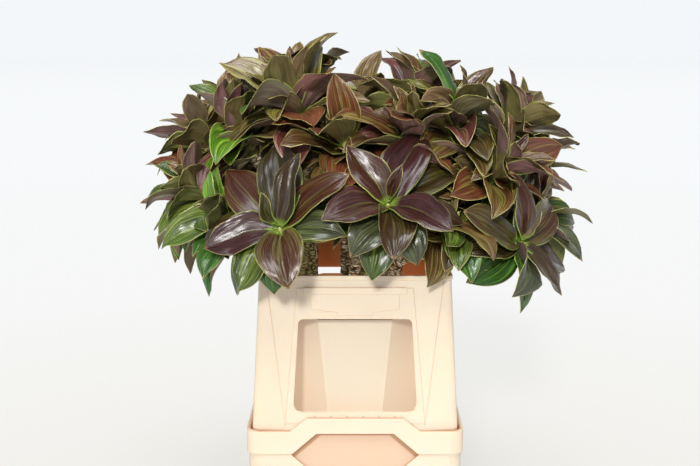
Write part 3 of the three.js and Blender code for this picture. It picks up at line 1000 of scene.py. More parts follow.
@dataclass(frozen=True)
class Leaf:
    """One leaf: where it leaves its rosette, how it leans, its size and its colour.

    Angles are in degrees and sizes in millimetres. paleness lightens or darkens its colour, on the further
    rosettes as painted light and shade, breadth widens it against the source's leaf, and wildness is how
    much it turns, folds and rolls.
    """

    azimuth: float
    polar: float
    length: float
    width: float
    bend: float
    twist: float
    lift: float
    tone: LeafTone = LeafTone.CHOCOLATE
    paleness: float = 1.0
    breadth: float = 1.22
    wildness: float = 1.5

    def eased(self, rank: int, swing: float) -> Leaf:
        """Returns the leaf turned aside, raised, straightened and shortened, as the source tries it.

        Args:
            rank: how far it is eased towards the axis.
            swing: how far it is turned aside, in degrees.

        Returns:
            The eased leaf.
        """
        return replace(
            self,
            azimuth=self.azimuth + swing,
            polar=max(self.polar - 7 * rank, min(self.polar, 14)),
            bend=self.bend * (1 - 0.07 * rank),
            length=self.length * (1 - 0.03 * rank),
        )


@dataclass
class Rosette:
    """One rosette of leaves round the tip of its cane, facing away from the crowd's middle."""

    label: str
    heart: np.ndarray
    below: float = 42.0
    root_radius: float = 4.5
    middle: float = 310.0

    def __post_init__(self) -> None:
        """Sets the rosette's axes: away from the middle, across that, and up."""
        self.axis = unit(self.heart - UP * self.middle)
        self.across = unit(np.cross(UP, self.axis))
        self.rise = np.cross(self.axis, self.across)

    def rib(self, leaf: Leaf, s: np.ndarray) -> tuple[np.ndarray, np.ndarray, np.ndarray]:
        """Follows a leaf's midrib, an arc that bends away from the rosette's axis.

        Args:
            leaf: the leaf.
            s: shares of its length.

        Returns:
            The places along the rib, and there the directions to its side and up from its face.
        """
        s = np.asarray(s, float)[:, None]
        azimuth, bend = math.radians(leaf.azimuth), math.radians(leaf.bend)
        first = math.radians(leaf.polar) - bend / 2
        angle = first + bend * s
        outward = self.across * math.cos(azimuth) + self.rise * math.sin(azimuth)
        along = leaf.length * (np.sin(angle) - math.sin(first)) / bend
        out = self.root_radius + leaf.length * (math.cos(first) - np.cos(angle)) / bend
        place = self.heart + self.axis * (leaf.lift + along) + outward * out
        direction = self.axis * np.cos(angle) + outward * np.sin(angle)
        flat = np.cross(self.axis, outward)
        twist = math.radians(leaf.twist) * s
        side = flat * np.cos(twist) + np.cross(direction, flat) * np.sin(twist)
        return place, side, -np.cross(side, direction)

    def tip(self, leaf: Leaf) -> np.ndarray:
        """Returns the leaf's tip."""
        return self.rib(leaf, np.array([1.0]))[0][0]


@dataclass
class Blades:
    """Turns leaves into fine closed blades. Sizes are in millimetres and angles in radians."""

    petiole: float = 0.3
    belly: float = 1.03
    taper: float = 0.7
    fold: float = math.radians(9)
    rows: int = 20
    middle_thick: float = 1.0
    margin_thick: float = 0.55
    turn: float = math.radians(16)
    raised_fold: float = math.radians(24)
    young_fold: float = math.radians(24)
    root_fold: float = math.radians(34)
    root_reach: float = 0.13
    ripple: float = 3.2
    sway: float = 5.5
    seed: int = 7

    def __post_init__(self) -> None:
        """Lays out the points across a blade and starts the blade's own random draws."""
        half = np.array([0, 0.07, 0.2, 0.4, 0.6, 0.78, 0.92, 1.0])
        # Once across the upper face from margin to margin, then back across the lower one
        upper = np.concatenate([-half[::-1], half[1:]])
        self.across = np.concatenate([upper, upper[-2:0:-1]])[None, :]
        self.out = np.abs(self.across)
        under = np.concatenate([np.zeros(len(upper)), np.ones(len(upper) - 2)])
        under[[0, len(upper) - 1]] = 0.5
        self.under = under[None, :]
        steps = np.linspace(0, 1, self.rows)
        self.along = np.clip(0.5 - 0.5 * np.cos(math.pi * steps) * 0.999, 0, 1)[:, None]
        self.draw = random.Random(self.seed)

    def half_width(self, leaf: Leaf) -> np.ndarray:
        """Works out how wide the blade is: a narrow root, a full middle and a drawn-out point.

        Args:
            leaf: the leaf.

        Returns:
            Half the blade's width at each row.
        """
        s = self.along
        body = np.maximum(np.sin(math.pi * s**self.belly), 0) ** self.taper
        point = 1 - 0.35 * np.exp(-(((1 - s) / 0.1) ** 2))
        return leaf.breadth * leaf.width / 2 * (self.petiole * (1 - s) ** 2 + body * point * 0.97 + 0.004)

    def outline(self, rosette: Rosette, leaf: Leaf) -> np.ndarray:
        """Makes a coarse, thick stand-in for a leaf beyond its root.

        Args:
            rosette: the leaf's rosette.
            leaf: the leaf.

        Returns:
            Rows of four points: left, top, right and below.
        """
        s = np.array([0.2, 0.4, 0.6, 0.8, 0.97])
        place, side, face = rosette.rib(leaf, s)
        half = (leaf.width / 2 * np.sin(math.pi * s**self.belly) ** self.taper + 1.2)[:, None]
        left, right = place - side * half, place + side * half
        up = face * (half * math.sin(self.fold))
        return np.stack([left + up, place + up + face * 1.4, right + up, place - face * 1.6], axis=1)

    def add(self, sketch: Sketch, rosette: Rosette, leaf: Leaf) -> None:
        """Adds one blade to its rosette's mesh.

        Args:
            sketch: the mesh.
            rosette: the rosette that the leaf grows on.
            leaf: the leaf.
        """
        place, side, face = self._turned(rosette, leaf)
        lean = self.draw.uniform(-0.05, 0.05)
        reach = self.half_width(leaf) * (1 + lean * np.sign(self.across))
        young = max(0.0, min(1.0, (40 - leaf.polar) / 30))
        aside, height = self._folded(leaf, reach, young)
        height = height + self._waves(leaf) + self._sag(young) + self._skin()
        bow = np.sin(math.pi * self.along) + 0.5 * np.sin(2 * math.pi * self.along)
        aside = aside + self.draw.uniform(-self.sway, self.sway) * bow
        points = (
            place[:, None, :] + side[:, None, :] * aside[:, :, None] + face[:, None, :] * height[:, :, None]
        )
        sketch.tube(points[:, ::-1], **self._marks(leaf, reach))

    def _turned(self, rosette: Rosette, leaf: Leaf) -> tuple[np.ndarray, np.ndarray, np.ndarray]:
        """Follows the leaf's rib, with the blade turned a little more towards its tip.

        Args:
            rosette: the leaf's rosette.
            leaf: the leaf.

        Returns:
            The places along the rib, and there the directions to its side and up from its face.
        """
        place, side, face = rosette.rib(leaf, self.along[:, 0])
        turn = self.draw.uniform(-self.turn, self.turn) * leaf.wildness * self.along
        return (
            place,
            side * np.cos(turn) + face * np.sin(turn),
            face * np.cos(turn) - side * np.sin(turn),
        )

    def _folded(self, leaf: Leaf, reach: np.ndarray, young: float) -> tuple[np.ndarray, np.ndarray]:
        """Folds the blade along its rib, one half more than the other, and may roll that margin.

        Args:
            leaf: the leaf.
            reach: the blade's half width at each point.
            young: how young the leaf is, from 0 to 1.

        Returns:
            How far each point lies to the side of the rib, and how far above it.
        """
        draw, s, t, out = self.draw, self.along, self.across, self.out
        middle = np.sin(math.pi * s)
        fold = self.fold + young * self.young_fold + self.root_fold * np.exp(-s / self.root_reach)
        raised = np.sign(t) == draw.choice((-1, 1))
        fold = fold + draw.uniform(0, self.raised_fold) * leaf.wildness * middle * raised
        roll = draw.uniform(0.3, 1.2) if draw.random() < 0.4 * leaf.wildness else 0.0
        margin = 0.5 * reach * np.clip((out - 0.45) / 0.55, 0, 1) * middle**0.7 * raised
        arch = 1.35 * out - 0.35 * out**3
        plump = draw.uniform(0.01, 0.06) * np.sin(math.pi * out**0.8)
        aside = reach * t * np.cos(fold) - np.sign(t) * margin * roll**2 / 2
        return aside, reach * (np.sin(fold) * arch + plump) + margin * math.sin(roll)

    def _waves(self, leaf: Leaf) -> np.ndarray:
        """Ripples each margin by itself and lays three faint waves over the whole blade.

        Args:
            leaf: the leaf.

        Returns:
            How far each point is lifted.
        """
        draw, s, t, whole = self.draw, self.along, self.across, 2 * math.pi
        free = np.minimum(1, s / 0.25) * np.minimum(1, (1 - s) / 0.1 + 0.25)
        waves = draw.uniform(1.3, 2.3)
        size = min(self.ripple, 0.14 * leaf.width / 2) * draw.uniform(0.35, 1.0)
        height = np.zeros((1, 1))
        for sign in (-1, 1):
            phase = draw.uniform(0, whole)
            ripple = np.sin(whole * waves * s + phase) + 0.4 * np.sin(2.3 * whole * waves * s)
            height = height + size * ripple * free * self.out**2.2 * (np.sign(t) == sign)
        for _ in range(3):
            slant, phase = draw.uniform(-1.5, 1.5), draw.uniform(0, whole)
            height = height + 0.3 * free * np.sin(whole * (draw.uniform(1.5, 4) * s + slant * t) + phase)
        return height

    def _sag(self, young: float) -> np.ndarray:
        """Bends the tip up or down and lets the blade rise and dip on the way.

        Args:
            young: how young the leaf is, from 0 to 1: the youngest stand straight.

        Returns:
            How far each row is lifted.
        """
        curl, dip = self.draw.uniform(-3.0, 16.0), self.draw.uniform(-2.5, 2.5)
        tip = np.clip((self.along - 0.6) / 0.4, 0, 1) ** 2
        return (1 - young) * (dip * np.sin(2 * math.pi * self.along) - curl * tip)

    def _skin(self) -> np.ndarray:
        """Gives the blade its thickness, thickest at the root, and a groove along its rib.

        Returns:
            How far each point of the two faces stands above the blade's middle.
        """
        s, top = self.along, self.under < 0.75
        groove = np.exp(-((self.out / 0.07) ** 2)) * np.clip(1 - s, 0, 1) ** 0.5
        thick = self.margin_thick + (self.middle_thick - self.margin_thick) * (1 - self.out**2)
        thick = (thick + 1.6 * (1 - s) ** 4) * np.clip((1 - s) / 0.03, 0.25, 1)
        skin = np.where(self.under == 0.5, 0, np.where(top, thick / 2, -thick / 2))
        return skin - groove * np.where(top, 0.35, 0.6)

    def _marks(self, leaf: Leaf, reach: np.ndarray) -> dict[str, np.ndarray]:
        """Gathers what the leaf's finish reads at each point.

        Args:
            leaf: the leaf.
            reach: the blade's half width at each point.

        Returns:
            Three numbers for each point, by the mark's name.
        """
        draw, tone = self.draw, leaf.tone.value
        own, streaked = draw.random(), tone.streaked * draw.uniform(0.5, 1.3)
        base, stripe = np.array(tone.base), np.array(tone.stripe)
        pale = leaf.paleness if base[0] > base[1] else leaf.paleness**0.3
        blank = np.zeros(reach.shape)
        place = np.stack([blank + self.along, blank + self.across, reach * (1 - self.out)], axis=-1)
        kind = np.stack([blank + self.under, blank + streaked, blank + own], axis=-1)
        return {
            "leaf_place": place[:, ::-1],
            "leaf_kind": kind[:, ::-1],
            "leaf_base": base * draw.uniform(0.6, 0.95) * pale,
            "leaf_stripe": stripe * draw.uniform(0.75, 1.1) * pale,
            "cane_place": np.zeros(3),
        }


@dataclass
class Cane:
    """One cane: upright in the pot, then bent towards its rosette, scarred all along."""

    root: tuple[float, float]
    rosette: Rosette
    foot: float = 303.3
    straight_to: float = 415.0
    radius: float = 8.5
    around: int = 16
    step: float = 3.2
    upward: float = 0.4
    inward: float = 0.18
    seed: int = 0

    def _path(self) -> np.ndarray:
        """Leads the cane upright out of the pot and then in a curve to the rosette's stem.

        Returns:
            Close points along it, from its foot.
        """
        x, y = self.root
        start = np.array([x, y, self.straight_to])
        end = self.rosette.heart - self.rosette.axis * (self.rosette.below + 0.3)
        span = np.linalg.norm(end - start)
        leave, arrive = start + UP * self.upward * span, end - self.rosette.axis * self.inward * span
        t = np.linspace(0, 1, max(12, round(span / self.step)))[:, None]
        bent = (
            start * (1 - t) ** 3 + 3 * leave * t * (1 - t) ** 2 + 3 * arrive * t**2 * (1 - t) + end * t**3
        )
        upright = np.arange(self.foot, self.straight_to - 1, self.step)
        return np.concatenate([np.column_stack([np.full((len(upright), 2), self.root), upright]), bent])

    def build(self, finish: bpy.types.Material) -> None:
        """Builds the cane and dresses it.

        Args:
            finish: the bark.
        """
        path = self._path()
        rings, marks = tube_along(path, self.around, self._radii(len(path)), self.seed)
        sketch = Sketch()
        sketch.tube(rings, cane_place=marks)
        label = self.rosette.label
        settle(sketch.piece(f"scarred_cane_{label}", [finish]), f"cane_{label}")

    def _radii(self, rows: int) -> np.ndarray:
        """Swells the cane at its joints and makes its scars uneven.

        Args:
            rows: how many rings the cane has.

        Returns:
            The radius at each point of each ring.
        """
        joints = 0.35 * np.sin(np.arange(rows) * 1.9)[:, None]
        uneven = np.random.default_rng(self.seed).normal(0, 0.22, (rows, self.around))
        smooth = (uneven + np.roll(uneven, 1, axis=1) + np.roll(uneven, -1, axis=1)) / 1.8
        return self.radius - 0.3 + joints + smooth


def tube_along(
    path: np.ndarray, around: int, radii: np.ndarray, seed: int
) -> tuple[np.ndarray, np.ndarray]:
    """Sets rings square to a path.

    Args:
        path: the points that the tube follows.
        around: how many points each ring has.
        radii: the radius at each ring, or at each point of each ring.
        seed: a number of the tube's own, which shifts its markings.

    Returns:
        The rings, and for each point its place on the skin in metres.
    """
    # The marks are laid out as on a cane of one thickness, so that scars keep their size
    marked = 9 * MM
    ahead = np.gradient(path, axis=0)
    angles = np.linspace(0, 2 * math.pi, around, endpoint=False)
    across = np.array([1.0, 0.0, 0.0])
    rings, marks = [], []
    travelled = 0.0
    for i, (centre, direction) in enumerate(zip(path, ahead)):
        direction = unit(direction)
        across = unit(across - direction * np.dot(across, direction))
        other = np.cross(direction, across)
        spokes = np.cos(angles)[:, None] * across + np.sin(angles)[:, None] * other
        radius = np.broadcast_to(radii[i], around)[:, None]
        rings.append(centre + spokes * radius)
        travelled += 0.0 if i == 0 else float(np.linalg.norm(centre - path[i - 1]))
        lifted = np.full(around, travelled * MM + seed * 1.7)
        marks.append(np.column_stack([np.cos(angles) * marked, np.sin(angles) * marked, lifted]))
    return np.array(rings), np.array(marks)


@dataclass(frozen=True)
class RootField:
    """Where the canes stand in the pot: a bevelled field with a strip that none stands in."""

    half_x: float = 95.0
    half_y: float = 130.0
    corner: float = 182.0
    strip: tuple[float, float] = (-65.0, -13.0)
    spacing: float = 25.0
    widest_lean: float = math.radians(75)
    rounds: int = 200

    def places(self, plants: Sequence[Rosette]) -> list[tuple[float, float]]:
        """Spreads the canes as their rosettes lean and pushes them apart, by the source's rule.

        Args:
            plants: the rosettes.

        Returns:
            Each cane's x and y.
        """
        places, ranges = [], []
        for plant in plants:
            x, y, z = plant.axis
            lean = math.acos(z) / self.widest_lean / math.hypot(x, y)
            left = plant.heart[0] < sum(self.strip) / 2
            near, far = (self.strip[0], -self.half_x) if left else (self.strip[1], self.half_x)
            ranges.append(sorted((near, far)))
            places.append((near + (far - near) * lean * abs(x), self.half_y * lean * y))
        for _ in range(self.rounds):
            for i, (low, high) in enumerate(ranges):
                for j in range(i):
                    places[i], places[j] = self._apart(places[i], places[j])
                x = min(max(places[i][0], low), high)
                reach = min(self.half_y, self.corner - abs(x))
                places[i] = (x, min(max(places[i][1], -reach), reach))
        return places

    def _apart(
        self, one: tuple[float, float], other: tuple[float, float]
    ) -> tuple[tuple[float, float], tuple[float, float]]:
        """Pushes two places apart where they are closer than the spacing.

        Args:
            one: a place.
            other: another place.

        Returns:
            Both places.
        """
        dx, dy = one[0] - other[0], one[1] - other[1]
        apart = math.hypot(dx, dy)
        if apart >= self.spacing:
            return one, other
        push = (self.spacing - apart) / apart / 2
        return (
            (one[0] + dx * push, one[1] + dy * push),
            (other[0] - dx * push, other[1] - dy * push),
        )


@dataclass
class Crowd:
    """All the plants: their canes and rosettes, grown by the same rule as the part's source."""

    # Heart x, y, z, leaf length, how many leaves and the turn of the first. The nearest three are
    # set leaf by leaf and need no count.
    rosettes: tuple[tuple[float, ...], ...] = (
        (-99, -225, 516, 120, 0, 0), (43, -215, 546, 120, 0, 0), (227, -150, 484, 115, 0, 0),
        (130, -172, 518, 94, 18, 52), (-82, -80, 668, 118, 18, 115), (-164, -62, 634, 106, 18, 119),
        (-214, 5, 610, 102, 18, 191), (-212, -72, 546, 104, 18, 210), (-15, -135, 620, 110, 18, 132),
        (-174, -135, 510, 98, 18, 221), (70, -125, 636, 108, 18, 96), (98, 5, 668, 106, 18, 32),
        (148, -75, 648, 106, 18, 4), (222, -35, 630, 100, 18, 30), (196, -112, 575, 106, 18, 23),
        (254, 25, 578, 98, 18, 358), (248, -62, 512, 102, 18, 300), (-85, 40, 682, 108, 14, 40),
        (12, 48, 658, 106, 14, 200), (-184, 78, 628, 106, 14, 75), (128, 100, 628, 108, 14, 160),
        (-222, 45, 508, 108, 14, 250), (226, 105, 528, 108, 14, 10), (-178, 150, 528, 110, 14, 95),
        (-70, 150, 596, 110, 14, 320), (40, 192, 558, 112, 14, 140), (148, 188, 512, 114, 14, 285),
        (-68, 222, 488, 114, 14, 65),
    )

    # The nearest rosettes' leaves: azimuth, angle from the axis, length, width, bend and colour
    near_leaves: tuple[tuple[tuple[Any, ...], ...], ...] = (
        (
            (107, 80, 135, 52, 24, LeafTone.OLIVE), (142, 84, 130, 48, 26, LeafTone.WINE),
            (165, 102, 108, 42, 30, LeafTone.WINE), (185, 92, 125, 44, 34, LeafTone.CHOCOLATE),
            (208, 78, 100, 44, 30, LeafTone.PLUM), (297, 78, 100, 52, 40, LeafTone.RUST),
            (42, 76, 114, 46, 26, LeafTone.WINE), (358, 80, 94, 42, 30, LeafTone.SAGE),
            (250, 90, 96, 46, 38, LeafTone.FERN), (78, 58, 100, 38, 20, LeafTone.CHOCOLATE),
            (276, 98, 84, 42, 40, LeafTone.FOREST), (20, 104, 112, 42, 30, LeafTone.FOREST),
            (230, 108, 108, 42, 36, LeafTone.FOREST), (120, 22, 50, 16, 16, LeafTone.OLIVE),
        ),
        (
            (87, 92, 125, 52, 22, LeafTone.PLUM), (60, 78, 130, 50, 22, LeafTone.PLUM),
            (30, 90, 130, 48, 28, LeafTone.OLIVE), (125, 66, 92, 40, 22, LeafTone.WINE),
            (201, 74, 104, 46, 34, LeafTone.PLUM), (264, 80, 92, 50, 38, LeafTone.CHOCOLATE),
            (312, 68, 104, 46, 34, LeafTone.PLUM), (290, 94, 88, 46, 40, LeafTone.SAGE),
            (232, 88, 92, 46, 36, LeafTone.SAGE), (252, 108, 96, 44, 30, LeafTone.FERN),
            (350, 96, 104, 42, 30, LeafTone.CHOCOLATE), (150, 100, 112, 44, 28, LeafTone.OLIVE),
            (180, 108, 104, 42, 30, LeafTone.OLIVE), (60, 24, 50, 16, 16, LeafTone.WINE),
        ),
        (
            (145, 88, 110, 46, 28, LeafTone.TAWNY), (168, 98, 105, 44, 30, LeafTone.OLIVE),
            (20, 76, 126, 42, 26, LeafTone.RUST), (222, 84, 100, 50, 40, LeafTone.SAGE),
            (330, 88, 104, 48, 36, LeafTone.CHOCOLATE), (192, 110, 100, 42, 30, LeafTone.FOREST),
            (252, 102, 92, 34, 30, LeafTone.FOREST), (52, 84, 108, 44, 26, LeafTone.CHOCOLATE),
            (95, 58, 98, 42, 20, LeafTone.WINE), (282, 80, 90, 46, 36, LeafTone.CHOCOLATE),
            (78, 98, 106, 42, 30, LeafTone.OLIVE), (120, 100, 104, 42, 30, LeafTone.OLIVE),
            (350, 104, 100, 40, 34, LeafTone.FERN), (110, 22, 50, 16, 16, LeafTone.OLIVE),
        ),
    )
    swings: tuple[float, ...] = (0, 14, -14, 28, -28)
    ranks: int = 7
    match: float = 0.05
    fill_tries: int = 1200
    fill_most: int = 13
    # The further rosettes' leaves are lightened far more than the nearest three's: painted light over the
    # crowd's shade. Those low on the right are darkened again: painted shade.
    pale_near: float = 0.86
    grown_painted_light: float = 2.35
    low_right_painted_shade: float = 0.76

    # Places, each with its reach, round which the leaves share one colour
    patches: tuple[tuple[Any, ...], ...] = (
        (-168, -150, 602, 50, LeafTone.LIME), (-262, -90, 505, 72, LeafTone.FERN),
        (-214, -190, 463, 60, LeafTone.FOREST), (-30, -150, 680, 42, LeafTone.RUST),
        (180, -190, 452, 50, LeafTone.FOREST), (285, -10, 600, 34, LeafTone.FERN),
        (-14, -190, 600, 36, LeafTone.WINE), (140, -170, 590, 42, LeafTone.WINE),
        (225, -150, 566, 42, LeafTone.RUST), (-75, -110, 745, 36, LeafTone.PLUM),
        (-262, -60, 580, 40, LeafTone.WINE), (70, -140, 700, 40, LeafTone.CHOCOLATE),
        (270, -20, 560, 40, LeafTone.TAWNY),
    )

    def __post_init__(self) -> None:
        """Sets up the rosettes and starts the draws of the source's leaves and of their colours."""
        self.plants = [
            Rosette(f"{i + 1:02d}", np.array(row[:3], float)) for i, row in enumerate(self.rosettes)
        ]
        self.draw = 4217
        self.colours = random.Random(29)
        self.blades = Blades()

    def jitter(self) -> float:
        """Returns the source's next random number, from -0.5 to 0.5."""
        self.draw = (1664525 * self.draw + 1013904223) % 4294967296
        return self.draw / 4294967296 - 0.5

    def _placed(self, number: int) -> list[Leaf]:
        """Sets the leaves of one of the nearest rosettes.

        Args:
            number: the rosette's number, from 0.

        Returns:
            The leaves.
        """
        return [
            Leaf(
                azimuth, polar, length, width, bend, 0, 16 * (1 - polar / 60), tone, self.pale_near,
                wildness=0.7,
            )
            for azimuth, polar, length, width, bend, tone in self.near_leaves[number]
        ]

    def _grown(self, number: int) -> list[Leaf]:
        """Grows the leaves of a further rosette, as the source draws them.

        Args:
            number: the rosette's number, from 0.

        Returns:
            The leaves, from the innermost out.
        """
        _, _, _, length, count, turn = self.rosettes[number]
        leaves = []
        for i in range(count):
            out = i / (count - 1)
            size = 0.5 + 0.5 * min(1, out / 0.3)
            azimuth = turn + 137.5 * i + 14 * self.jitter()
            polar = 16 + 82 * out**0.82 + 9 * self.jitter()
            long = length * size * (1 + 0.14 * self.jitter())
            width = long * 0.42 * (1 + 0.2 * self.jitter())
            leaf = Leaf(azimuth, polar, long, width, 10 + 32 * out, 30 * self.jitter(), 18 - 52 * out)
            breadth = 0.92 + 0.3 * min(1, out / 0.45)
            tone, paleness = self._tone(number, out), self._paleness(number)
            leaves.append(replace(leaf, tone=tone, paleness=paleness, breadth=breadth))
        return leaves

    def _paleness(self, number: int) -> float:
        """Returns how pale a rosette's leaves are: lightened as painted light over the crowd's shade, less
        so low on the right as painted shade.
        """
        x, _, z = self.plants[number].heart
        return self.grown_painted_light * (self.low_right_painted_shade if x > 140 and z < 645 else 1.0)

    def _tone(self, number: int, out: float) -> LeafTone:
        """Draws a leaf's colour: browns and reds at the heart, more green in the lower, outer leaves.

        Args:
            number: the rosette's number, from 0.
            out: the leaf's place from the innermost, 0, to the outermost, 1.

        Returns:
            The colour.
        """
        x, _, z = self.plants[number].heart
        # The crowd is greener low down and at its left, a little greener at its far right
        low = 1.1 - (z - 480) / 190
        side = 3.6 if x < -120 else 2.0 if x > 170 else 1.0
        green = 0.05 + 0.6 * out**1.5 * low * side
        weights = {
            LeafTone.OLIVE: 1.7 if x > 140 else 0.9, LeafTone.CHOCOLATE: 1.1,
            LeafTone.WINE: 0.4 if x > 140 else 1.1, LeafTone.PLUM: 0.4 if x > 140 else 0.8,
            LeafTone.RUST: 0.3 * (1 - out), LeafTone.TAWNY: 0.7, LeafTone.SAGE: 1.2 * green,
            LeafTone.FERN: 2.2 * green,
            LeafTone.FOREST: (2.2 if z < 560 else 0.7) * green,
            LeafTone.LIME: 0.1 * green if x > -60 or z > 600 else green,
        }
        return self.colours.choices(list(weights), list(weights.values()))[0]

    def _coloured(self, rosette: Rosette, leaf: Leaf) -> Leaf:
        """Gives a leaf a patch's colour if its middle lies in one.

        Args:
            rosette: the leaf's rosette.
            leaf: the leaf.

        Returns:
            The leaf.
        """
        middle = rosette.rib(leaf, np.array([0.6]))[0][0]
        for x, y, z, reach, tone in self.patches:
            if np.linalg.norm(middle - (x, y, z)) < reach:
                return replace(leaf, tone=tone)
        return leaf

    def _matched(self, rosette: Rosette, leaf: Leaf, corners: KDTree) -> Leaf | None:
        """Finds which of the source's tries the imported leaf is, by its tip.

        Args:
            rosette: the rosette.
            leaf: the leaf as first drawn.
            corners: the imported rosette's corners.

        Returns:
            The leaf as packed, or none where the source found no room for it.
        """
        for rank, swing in product(range(self.ranks), self.swings):
            trial = leaf.eased(rank, swing)
            if corners.find(Vector(rosette.tip(trial) * MM))[2] < self.match * MM:
                return trial
        return None

    def _stem(self, sketch: Sketch, rosette: Rosette) -> None:
        """Adds the rosette's stem, with a rolled young leaf at its top.

        Args:
            sketch: the rosette's mesh.
            rosette: the rosette.
        """
        top = 3 if int(rosette.label) <= len(self.near_leaves) else 21
        # Heights along the axis from the heart, and the radii there
        levels = ((-42, 8.4), (-28, 7.9), (-12, 6.8), (top - 10, 5.2), (top - 3, 3.2), (top, 0.4))
        heights, radii = np.array(levels, float).T
        fine = np.linspace(heights[0], heights[-1], 36)
        radii = np.interp(fine, heights, radii) + 0.25 * np.abs(np.sin(fine * 0.45)) * (fine < 0)
        sway = 2.5 * np.clip(fine / 38, 0, 1)[:, None] ** 2
        path = rosette.heart + rosette.axis * fine[:, None] + rosette.across * sway
        rings, marks = tube_along(path, 14, radii, int(rosette.label))
        young = np.zeros(marks.shape)
        young[:, :, 0] = np.clip((fine[:, None] + 14) / 8, 0, 1)
        unused = dict.fromkeys(("leaf_place", "leaf_base", "leaf_stripe"), np.zeros(3))
        sketch.tube(rings, 1, cane_place=marks, leaf_kind=young, **unused)

    def _between(self, number: int, room: Room) -> list[Leaf]:
        """Finds places for further leaves of a rosette, between those that the part has room for.

        Args:
            number: the rosette's number, from 0.
            room: the solids and leaves that they must keep clear of.

        Returns:
            The leaves.
        """
        draw = random.Random(500 + number)
        plant, near = self.plants[number], number < len(self.near_leaves)
        long = self.rosettes[number][3]
        found: list[Leaf] = []
        for _ in range(self.fill_tries):
            polar = draw.uniform(92, 112) if near else draw.uniform(24, 104)
            out = min(1.0, max(0.0, (polar - 16) / 82))
            length = long * draw.uniform(0.5, 0.95) * (0.7 + 0.3 * min(1.0, out * 2.5))
            azimuth = draw.uniform(20, 195 if near else 380)
            width, twist = length * draw.uniform(0.38, 0.48), draw.uniform(-12, 12)
            leaf = Leaf(
                azimuth, polar, length, width, 12 + 30 * out, twist, 18 - 52 * out,
                self._tone(number, 0.4 + 0.6 * out), self._paleness(number),
            )
            if room.admits(self.blades.outline(plant, leaf)):
                found.append(leaf)
            if len(found) == self.fill_most:
                break
        return found

    def build(self) -> None:
        """Builds every cane and rosette."""
        bark, shoot, skin = Bark().material(), Shoot().material(), LeafSkin().material()
        room = Room()
        for number, (plant, root) in enumerate(zip(self.plants, RootField().places(self.plants))):
            Cane(root, plant, seed=number + 1).build(bark)
            corners = crown_corners(f"crown_{plant.label}")
            drawn = self._placed(number) if number < len(self.near_leaves) else self._grown(number)
            kept = [leaf for leaf in (self._matched(plant, leaf, corners) for leaf in drawn) if leaf]
            added = self._between(number, room)
            if number >= len(self.near_leaves):
                kept = [self._coloured(plant, leaf) for leaf in kept]
                added = [self._coloured(plant, leaf) for leaf in added]
            sketch = Sketch()
            self._stem(sketch, plant)
            for leaf in kept + added:
                self.blades.add(sketch, plant, leaf)
            LOG.info("rosette %s has %d packed leaves and %d between", plant.label, len(kept), len(added))
            settle(sketch.piece(f"rosette_{plant.label}", [skin, shoot]), f"crown_{plant.label}")


@dataclass
class Space:
    """The space that a closed mesh takes up, in metres."""

    tree: BVHTree
    low: np.ndarray
    high: np.ndarray

    @classmethod
    def of(cls, corners: np.ndarray, faces: Sequence[Sequence[int]]) -> Space:
        """Returns the space of a mesh with these corners and faces."""
        tree = BVHTree.FromPolygons(corners.tolist(), faces)
        return cls(tree, corners.min(axis=0), corners.max(axis=0))

    def meets(self, other: Space) -> bool:
        """Says whether the two skins cut each other."""
        near = (self.low < other.high).all() and (other.low < self.high).all()
        return bool(near and self.tree.overlap(other.tree))


class Room:
    """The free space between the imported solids, taken up by the leaves that are added."""

    def __init__(self) -> None:
        """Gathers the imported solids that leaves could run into."""
        self.taken: list[Space] = []
        for name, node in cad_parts.items():
            if name.startswith(("crown", "cane", "collar")):
                corners = np.array([corner.co[:] for corner in node.data.vertices])
                faces = [list(face.vertices) for face in node.data.polygons]
                self.taken.append(Space.of(corners, faces))

    def admits(self, rows: np.ndarray) -> bool:
        """Says whether a leaf fits, and takes its space if so.

        Args:
            rows: the leaf's rows of four points, in millimetres.

        Returns:
            Whether nothing is in its way.
        """
        last = len(rows) * 4 - 1
        faces = [[0, 1, 2, 3], [last, last - 1, last - 2, last - 3]]
        for start, i in product(range(0, last - 4, 4), range(4)):
            following = (i + 1) % 4
            faces.append([start + i, start + following, start + 4 + following, start + 4 + i])
        space = Space.of(rows.reshape(-1, 3) * MM, faces)
        if any(space.meets(other) for other in self.taken):
            return False
        self.taken.append(space)
        return True


def crown_corners(node: str) -> KDTree:
    """Makes a packed rosette's corners ready to be searched.

    Args:
        node: the rosette's node.

    Returns:
        The corners, in metres.
    """
    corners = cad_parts[node].data.vertices
    tree = KDTree(len(corners))
    for corner in corners:
        tree.insert(corner.co, corner.index)
    tree.balance()
    return tree


# Studio


